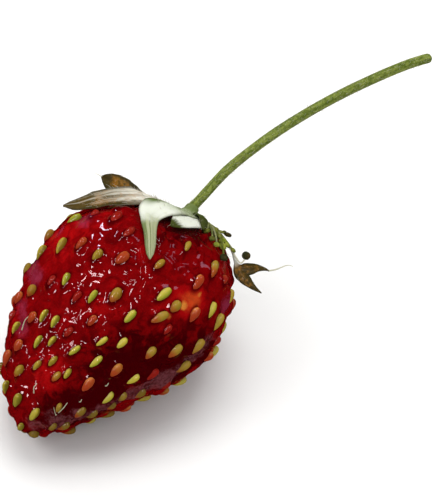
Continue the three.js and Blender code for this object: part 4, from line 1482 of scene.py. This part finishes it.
def blade_surface(blade, number, thickness):
    """One sepal as a thin closed shell: points, faces and point values."""
    length = spine_of(blade, [1.0])[4]
    rows = int(length / ROW_STEP)
    columns = 20 if max(h for _, h in blade["half"]) > BROAD else 14
    share = np.linspace(0, 1, rows)
    centre, out, _, high, _ = spine_of(blade, share)
    ahead = unit(np.gradient(centre, axis=0))
    side = sides_of(ahead, out, high)
    up = unit(np.cross(ahead, side))
    roll = (along(blade["roll"], share) * RAD)[:, None]
    span = side * np.cos(roll) + up * np.sin(roll)
    face = up * np.cos(roll) - side * np.sin(roll)
    half = along(blade["half"], share)
    gone = share * length
    # Brown edges waver.
    wave = np.stack([gone * 0.9, np.full(rows, number * 3.7), np.zeros(rows)], -1)
    half = half * (1 + 0.09 * grain(wave, 0.7) * blade["brown"])
    free = ease((gone - 1) / 2)  # the foot is plain
    lift = math.tan(blade["fold"] * RAD) * ease((gone - 1.5) / 2)
    across = np.linspace(-1, 1, columns + 1)
    y = half[:, None] * across
    place = np.stack(
        np.broadcast_arrays(y * 1.3, gone[:, None] * 0.45, number * 5.1 + 0.0 * y), -1
    )
    dry = along(blade["dry"], share)
    # Crumpled where it's dry, with a midrib, and its sides turned down.
    rise = grain(place, 0.8) * (0.02 + 0.09 * dry * free)[:, None]
    rise = rise + 0.045 * np.exp(-((y / 0.13) ** 2))
    rise = rise - 0.10 * across**2 * free[:, None] * half[:, None] / 1.5
    middle = (
        centre[:, None] + span[:, None] * y[..., None]
        + face[:, None] * (lift[:, None] * np.abs(y) + rise)[..., None]
    )
    # Thinner to its edges and to its tip.
    thin = thickness / 2 * (1 - 0.65 * across**4) * (1 - 0.5 * ease(share))[:, None]
    upper = middle + face[:, None] * thin[..., None]
    lower = (middle - face[:, None] * thin[..., None])[:, ::-1]
    ring = np.concatenate([upper, lower], 1)
    n = ring.shape[1]
    ends = np.array([middle[0, columns // 2], middle[-1, columns // 2]])
    shares = np.repeat(share[:, None], n, 1)
    wide = np.broadcast_to(np.concatenate([across, across[::-1]]), (rows, n))
    top = np.broadcast_to(np.r_[np.ones(columns + 1), np.zeros(columns + 1)], (rows, n))
    lean = np.repeat(ahead[:, None], n, 1)
    dry = np.repeat(dry[:, None], n, 1)

    def spread(values, first, last):
        return np.concatenate([values.reshape(rows * n, *values.shape[2:]), [first, last]])

    # Downy on top, less so where it's fresh or quite brown.
    hairy = top * ease((shares - 0.1) / 0.2) * (0.35 + 0.65 * dry)
    hairy = hairy * (1 - 0.85 * blade["brown"] ** 3 * ease((shares - 0.35) / 0.25))
    values = {
        "along": spread(shares, 0, 1),
        "across": spread(wide, 0, 0),
        "hairy": spread(hairy, 0, 0),
        "lean": spread(lean, lean[0, 0], lean[-1, 0]),
        "dry": spread(dry, dry[0, 0], dry[-1, 0]),
    }
    whole = (("brown", blade["brown"]), ("pale", blade["pale"]), ("side", number * 1.7))
    for key, value in whole:
        values[key] = np.full(rows * n + 2, float(value))
    points = np.vstack([ring.reshape(-1, 3), ends])
    return points, ring_faces(rows, n), values


def disc_surface():
    """The calyx's disc, which flares out of the foot of the stalk."""
    profile = catmull(COLLAR, 40)
    profile[:, 0] = np.maximum(profile[:, 0], 0.02)
    columns = 48
    turn = 2 * np.pi * np.arange(columns) / columns
    ribs = 1 + 0.03 * np.sin(5 * turn) + 0.02 * np.sin(11 * turn + 1)  # shallow
    r = profile[:, :1] * ribs
    points = on_head(r * np.cos(turn), r * np.sin(turn), profile[:, 1:])
    n = len(profile) * columns
    ends = on_head(np.zeros(2), np.zeros(2), profile[[0, -1], 1])
    high = np.r_[np.repeat(profile[:, 1], columns), profile[[0, -1], 1]] + 0.12
    values = {key: np.zeros(n + 2) for key in ("along", "across", "dry", "brown", "side")}
    # Downy round the stalk, and pale below that.
    values["hairy"] = ease((high - 0.6) / 0.3) * 0.6
    values["lean"] = np.repeat(HEAD_Z[None], n + 2, 0)
    values["pale"] = 0.7 - 0.65 * ease((high - 0.3) / 0.4)
    points = np.vstack([points.reshape(-1, 3), ends])
    return points, ring_faces(len(profile), columns), values


class STRAWBERRY_OT_calyx(StrawberryOperator, bpy.types.Operator):
    """Make the calyx: its disc, sepals and bractlets, and their hairs"""

    bl_idname = "strawberry.calyx"
    bl_label = "Calyx"

    def make(self, sizes, colours):
        parts = [
            blade_surface(blade, i + 1, sizes.sepal_thickness / MM)
            for i, blade in enumerate(BLADES)
        ]
        parts.append(disc_surface())
        points, faces, start = [], [], 0
        for p, f, _ in parts:
            points.append(lie(p))
            faces.extend(tuple(v + start for v in face) for face in f)
            start += len(p)
        values = {
            key: np.concatenate([part[2][key] for part in parts]) for key in parts[0][2]
        }
        values["lean"] = lie_along(values["lean"])
        mesh = mesh_of("sepals", np.vstack(points), faces, **values)
        sepals = piece_of("sepals", mesh, sepal_finish(colours))
        hairs = sown(
            "sepal_hairs", mesh.copy(), hair_tree(), hair_form(),
            density=sizes.sepal_hairs / MM**2, length=sizes.hair_length, lean=1.3,
            spread=0.55, seed=sizes.seed + 10, finish=hair_finish(colours),
        )
        belongs(sepals, "calyx", "calyx")
        belongs(hairs, "calyx")


class STRAWBERRY_OT_stalk(StrawberryOperator, bpy.types.Operator):
    """Sweep the stalk up from the calyx, with its ribs and hairs"""

    bl_idname = "strawberry.stalk"
    bl_label = "Stalk"

    def make(self, sizes, colours):
        flat = catmull(STALK_LINE, 190)
        for _ in range(SMOOTHINGS):
            flat[1:-1] = (flat[:-2] + 2 * flat[1:-1] + flat[2:]) / 4
        line = on_head(flat[:, 0], 0.0, flat[:, 1])
        t = np.linspace(0, 1, len(line))
        # Slightly uneven, wider at its foot and worn at the cut.
        wobble = grain(np.stack([t * 9, t * 0, t * 0], -1), 1.0)
        radius = sizes.stalk_radius / MM * (1 + 0.035 * wobble + 0.14 * np.exp(-t / 0.05))
        worn = np.clip((t - WORN_FROM) / (1 - WORN_FROM), 0, 1)
        radius *= np.sqrt(1 - 0.8 * worn**2)
        mesh = lines_mesh("stalk_line", [line], [radius], hairy=np.ones(len(line)))
        stalk = grown(
            "stem", mesh, sweep_tree(), sides=26, ribs=7.0, rib_depth=0.025, twist=1.1,
            finish=stalk_finish(colours),
        )
        hairs = sown(
            "stem_hairs", stalk.data.copy(), hair_tree(), hair_form(),
            density=sizes.stalk_hairs / MM**2, length=sizes.hair_length * 0.7, lean=0.6,
            spread=0.7, seed=sizes.seed + 20, finish=hair_finish(colours),
        )
        belongs(stalk, "stalk", "stalk")
        belongs(hairs, "stalk")


class STRAWBERRY_OT_stamens(StrawberryOperator, bpy.types.Operator):
    """Make the withered stamens in the gap of the calyx"""

    bl_idname = "strawberry.stamens"
    bl_label = "Stamens"

    def make(self, sizes, colours):
        lines, thick, ends, bleached = [], [], [], []

        def add(path, first, last, pale, anther, tint):
            lines.append(path)
            thick.append(sizes.filament_radius / MM * np.linspace(first, last, len(path)))
            bleached.append(np.full(len(path), pale))
            ends.append((path[-1], unit(path[-1] - path[-3]), anther, tint))

        for k, (start, end, length, height, anther, tint) in enumerate(STAMENS):
            s = np.linspace(0, 1, 6)
            side = start + (end - start) * s + 3 * (draw(k, 5) - 0.5) * s
            high = RIM_HIGH + (height - RIM_HIGH) * s * s
            path = catmull(over_skin(np.stack([RIM_FAR + length * s, side, high], 1)), 16)
            add(path, 1.0, 0.75, 0.2 * tint, anther, tint)
        add(catmull(over_skin(STRAND), 24), 0.9, 0.6, 1.0, STRAND_ANTHER, 0.0)
        finish = stamen_finish(colours)
        bleached = np.concatenate(bleached)
        mesh = lines_mesh("filament_lines", lines, thick, bleached=bleached)
        piece = grown("dry_stamens", mesh, sweep_tree(), sides=8, finish=finish)
        belongs(piece, "stamens", "stamens")
        # An anther on the end of each, lying along it.
        at = np.array([e[0] + e[1] * e[2] * 0.4 for e in ends])
        ahead = np.array([e[1] for e in ends])
        out = unit(np.cross(ahead, np.roll(ahead, 1, 1) + 0.3))
        places = mesh_of(
            "anther_places", lie(at), (), out=lie_along(out), back=lie_along(ahead),
            size=[e[2] for e in ends], tint=[e[3] for e in ends],
        )
        anthers = sown(
            "anthers", places, self.anther_tree(), self.anther_form(),
            seed=sizes.seed + 30, finish=finish,
        )
        belongs(anthers, "stamens")

    @staticmethod
    def anther_form():
        """A dry anther of two lobes, a radius of 1 about the origin."""
        rings, columns = 8, 12
        s = (np.arange(rings) + 0.5) / rings
        turn = 2 * np.pi * np.arange(columns) / columns
        r = np.sin(np.pi * s)[:, None] ** 0.8
        groove = 1 - 0.32 * np.abs(np.sin(turn)) ** 6
        x = r * np.cos(turn) * 1.1 * groove
        z = r * np.sin(turn) * 0.75 * groove
        y = np.repeat(-np.cos(np.pi * s)[:, None], columns, 1)
        points = np.stack([x, y, z], -1).reshape(-1, 3)
        points = np.vstack([points, [[0, -0.96, 0], [0, 0.9, 0]]])
        return mesh_of(
            "anther_form", points / MM, ring_faces(rings, columns),
            anther=np.ones(len(points)),
        )

    @staticmethod
    def anther_tree():
        """An anther at each point, turned to its out and back directions."""
        g, wire = geometry_tree(
            "Anthers on points",
            ("Form", "Object", None),
            ("Seed", "Int", 0),
            ("Finish", "Material", None),
        )
        scale = g.named("size") * g.random(0.85, 1.15, wire["Seed"]) * MM
        made = g.placed(wire["Geometry"], wire["Form"], g.facing(), scale)
        return end_tree(g, made, wire["Finish"])


class STRAWBERRY_OT_threads(StrawberryOperator, bpy.types.Operator):
    """Add the awn of the right sepal and the styles that are still on"""

    bl_idname = "strawberry.threads"
    bl_label = "Awn and styles"

    def make(self, sizes, colours):
        finish = stamen_finish(colours)
        steps, thinner = 18, 0.55  # the second line of each is thinner
        for name, lines, start, end, slot, bleach in (
            ("awn", [AWN, self.raised_awn()], 0.075, 0.022, "calyx", 0.75),
            ("styles", [over_skin(s) for s in STYLES], 0.03, 0.05, "fruit", 0.6),
        ):
            lines = [catmull(line, steps) for line in lines]
            radii = [np.linspace(start, end, steps)] * len(lines)
            radii[1] = radii[1] * thinner
            mesh = lines_mesh(
                name + "_lines", lines, radii, bleached=np.full(steps * len(lines), bleach)
            )
            belongs(grown(name, mesh, sweep_tree(), sides=6, finish=finish), slot)

    def raised_awn(self):
        """A short one on the tip of the raised bractlet."""
        centre = spine_of(RAISED, np.array([0.94, 1.0]))[0]
        ahead = unit(centre[1] - centre[0])
        bend = 0.25 * unit(np.cross(ahead, HEAD_Z))
        reach = np.array([-0.08, 0.15, 0.38, 0.6])[:, None]
        return centre[1] + ahead * reach + bend * reach**2


# ---------------------------------------------------------------------------
# Stage

CAMERA_AZ, CAMERA_EL = -46.5 * RAD, 52 * RAD
CAMERA_FAR = 300.0
LOOK_FROM = np.array([-0.187, 0.499, 6.862])  # the camera is straight out from it
AIM_RIGHT, AIM_UP = 9.25, 6.15  # and is turned this far off it
VIEW_HEIGHT = 39.92  # millimetres of height in view
SENSOR = 36  # millimetres across the camera's sensor
LIT = np.array([0, 0, 0.008])  # metres, where the lights point
SKY = 0.68  # strength of the even light from all round
FLOOR_REACH, FLOOR_STEPS = 900, 24  # millimetres from its middle, squares across


def camera_axes():
    ca, sa = math.cos(CAMERA_AZ), math.sin(CAMERA_AZ)
    ce, se = math.cos(CAMERA_EL), math.sin(CAMERA_EL)
    right = np.array([ca, sa, 0])
    back = np.array([sa * ce, -ca * ce, se])
    return right, np.cross(back, right), back


def look_at(thing, place, target):
    way = Vector(target) - Vector(place)
    thing.location = Vector(place)
    thing.rotation_euler = way.to_track_quat("-Z", "Y").to_euler()


class STRAWBERRY_OT_stage(StrawberryOperator, bpy.types.Operator):
    """Set up the floor, the camera and the lights"""

    bl_idname = "strawberry.stage"
    bl_label = "Stage"

    # Name, way to it (right, up, towards the camera), distance, power, size and
    # colour: softboxes for the form, and small panes that only the wet gloss
    # mirrors.
    SOFTBOXES = (
        ("ceiling", 0.10, 0.80, 0.60, 0.55, 1.55, 0.36, (1.0, 0.99, 0.97)),
        ("key", -0.62, 0.45, 0.64, 0.45, 0.45, 0.20, (1.0, 0.98, 0.96)),
    )
    PANES = (
        ("pane_left", -0.61, 0.38, 0.69, 0.35, 0.30, 0.050, (1.0, 0.80, 0.83)),
        ("pane_side", -0.76, 0.18, 0.63, 0.35, 0.20, 0.041, (1.0, 0.80, 0.83)),
        ("pane_low", -0.88, -0.12, 0.45, 0.35, 0.26, 0.048, (1.0, 0.82, 0.85)),
        ("pane_front", 0.12, -0.05, 0.99, 0.35, 0.12, 0.035, (1.0, 0.80, 0.83)),
        ("pane_high", 0.22, 0.38, 0.90, 0.35, 0.20, 0.043, (1.0, 0.84, 0.87)),
        ("pane_back", -0.38, 0.90, 0.20, 0.35, 0.30, 0.044, (0.82, 0.80, 1.0)),
        ("pane_right", 0.68, 0.66, 0.30, 0.40, 0.11, 0.090, (0.90, 0.72, 1.0)),
    )

    def make(self, sizes, colours):
        scene = bpy.context.scene
        axes = camera_axes()
        self.camera(scene, *axes)
        self.lights(scene, np.array(axes))
        self.sky(scene)
        self.floor(colours)

    def camera(self, scene, right, up, back):
        camera = bpy.data.objects.new("camera", bpy.data.cameras.new("camera"))
        scene.collection.objects.link(camera)
        scene.camera = camera
        place = LOOK_FROM + CAMERA_FAR * back
        aim = LOOK_FROM + AIM_RIGHT * right + AIM_UP * up
        reach = float(np.linalg.norm(place - aim))
        back = (place - aim) / reach
        right = unit(np.cross(up, back))
        turned = Matrix(np.stack([right, np.cross(back, right), back], 1).tolist())
        camera.matrix_world = Matrix.Translation(place * MM) @ turned.to_4x4()
        camera.data.sensor_width = SENSOR
        camera.data.lens = SENSOR * reach / VIEW_HEIGHT
        camera.data.clip_start, camera.data.clip_end = 0.01, 20

    def lights(self, scene, axes):
        for name, r, u, b, far, power, size, colour in self.SOFTBOXES + self.PANES:
            data = bpy.data.lights.new(name, "AREA")
            data.energy, data.size, data.color = power, size, colour
            light = bpy.data.objects.new(name, data)
            light.visible_glossy = name.startswith("pane")
            light.visible_diffuse = not light.visible_glossy
            scene.collection.objects.link(light)
            way = unit(np.array([r, u, b]) @ axes)
            look_at(light, way * far + LIT, LIT)

    def sky(self, scene):
        """Even light from all round, which the gloss doesn't mirror."""
        world = bpy.data.worlds.new("studio")
        world.use_nodes = True
        scene.world = world
        sky = world.node_tree.nodes["Background"]
        sky.inputs["Color"].default_value = (1, 1, 1, 1)
        sky.inputs["Strength"].default_value = SKY
        world.cycles_visibility.glossy = False
        scene.view_settings.view_transform = "Standard"

    def floor(self, colours):
        steps = FLOOR_STEPS
        edge = np.linspace(-1, 1, steps + 1) * FLOOR_REACH
        x, y = np.meshgrid(edge, edge, indexing="ij")
        points = np.stack([x, y, np.zeros_like(x) - 0.01], -1).reshape(-1, 3)
        n = steps + 1
        faces = [
            (i * n + j, (i + 1) * n + j, (i + 1) * n + j + 1, i * n + j + 1)
            for i in range(steps)
            for j in range(steps)
        ]

        def build(g):
            mottle = g.noise(g.millimetres(), 40.0, 2.0)
            return {
                "Base Color": g.blend(mottle * 0.1, colours.floor, (0.9, 0.9, 0.9)),
                "Roughness": 0.75 + 0.1 * mottle,
            }

        mesh = mesh_of("floor", points, faces, outward=False)
        finish = finish_of("pale_floor", {"Specular IOR Level": 0.2}, build)
        floor = piece_of("floor", mesh, finish)
        floor.visible_glossy = False
        floor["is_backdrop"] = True


PIECES = (
    STRAWBERRY_OT_stage,
    STRAWBERRY_OT_flesh,
    STRAWBERRY_OT_achenes,
    STRAWBERRY_OT_calyx,
    STRAWBERRY_OT_stalk,
    STRAWBERRY_OT_stamens,
    STRAWBERRY_OT_threads,
)


class STRAWBERRY_PT_panel(bpy.types.Panel):
    """The strawberry's settings and pieces"""

    bl_idname = "STRAWBERRY_PT_panel"
    bl_label = "Wild strawberry"
    bl_space_type = "VIEW_3D"
    bl_region_type = "UI"
    bl_category = "Strawberry"

    def draw(self, context):
        layout = self.layout
        for title, group in (
            ("Sizes", context.scene.strawberry_sizes),
            ("Colours", context.scene.strawberry_colours),
        ):
            box = layout.box()
            box.label(text=title)
            for key in group.__annotations__:
                box.prop(group, key)
        for piece in PIECES:
            layout.operator(piece.bl_idname)


CLASSES = (StrawberrySizes, StrawberryColours, *PIECES, STRAWBERRY_PT_panel)


def register():
    for cls in CLASSES:
        bpy.utils.register_class(cls)
    bpy.types.Scene.strawberry_sizes = PointerProperty(type=StrawberrySizes)
    bpy.types.Scene.strawberry_colours = PointerProperty(type=StrawberryColours)


def unregister():
    del bpy.types.Scene.strawberry_colours
    del bpy.types.Scene.strawberry_sizes
    for cls in reversed(CLASSES):
        bpy.utils.unregister_class(cls)


def plain(box):
    return [[float(v) for v in corner] for corner in box]


def main():
    register()
    for piece in PIECES:
        group, name = piece.bl_idname.split(".")
        getattr(getattr(bpy.ops, group), name)()
    {"cad": plain(CAD_BOX), "visual": plain(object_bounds())}


if __name__ == "__main__":
    main()
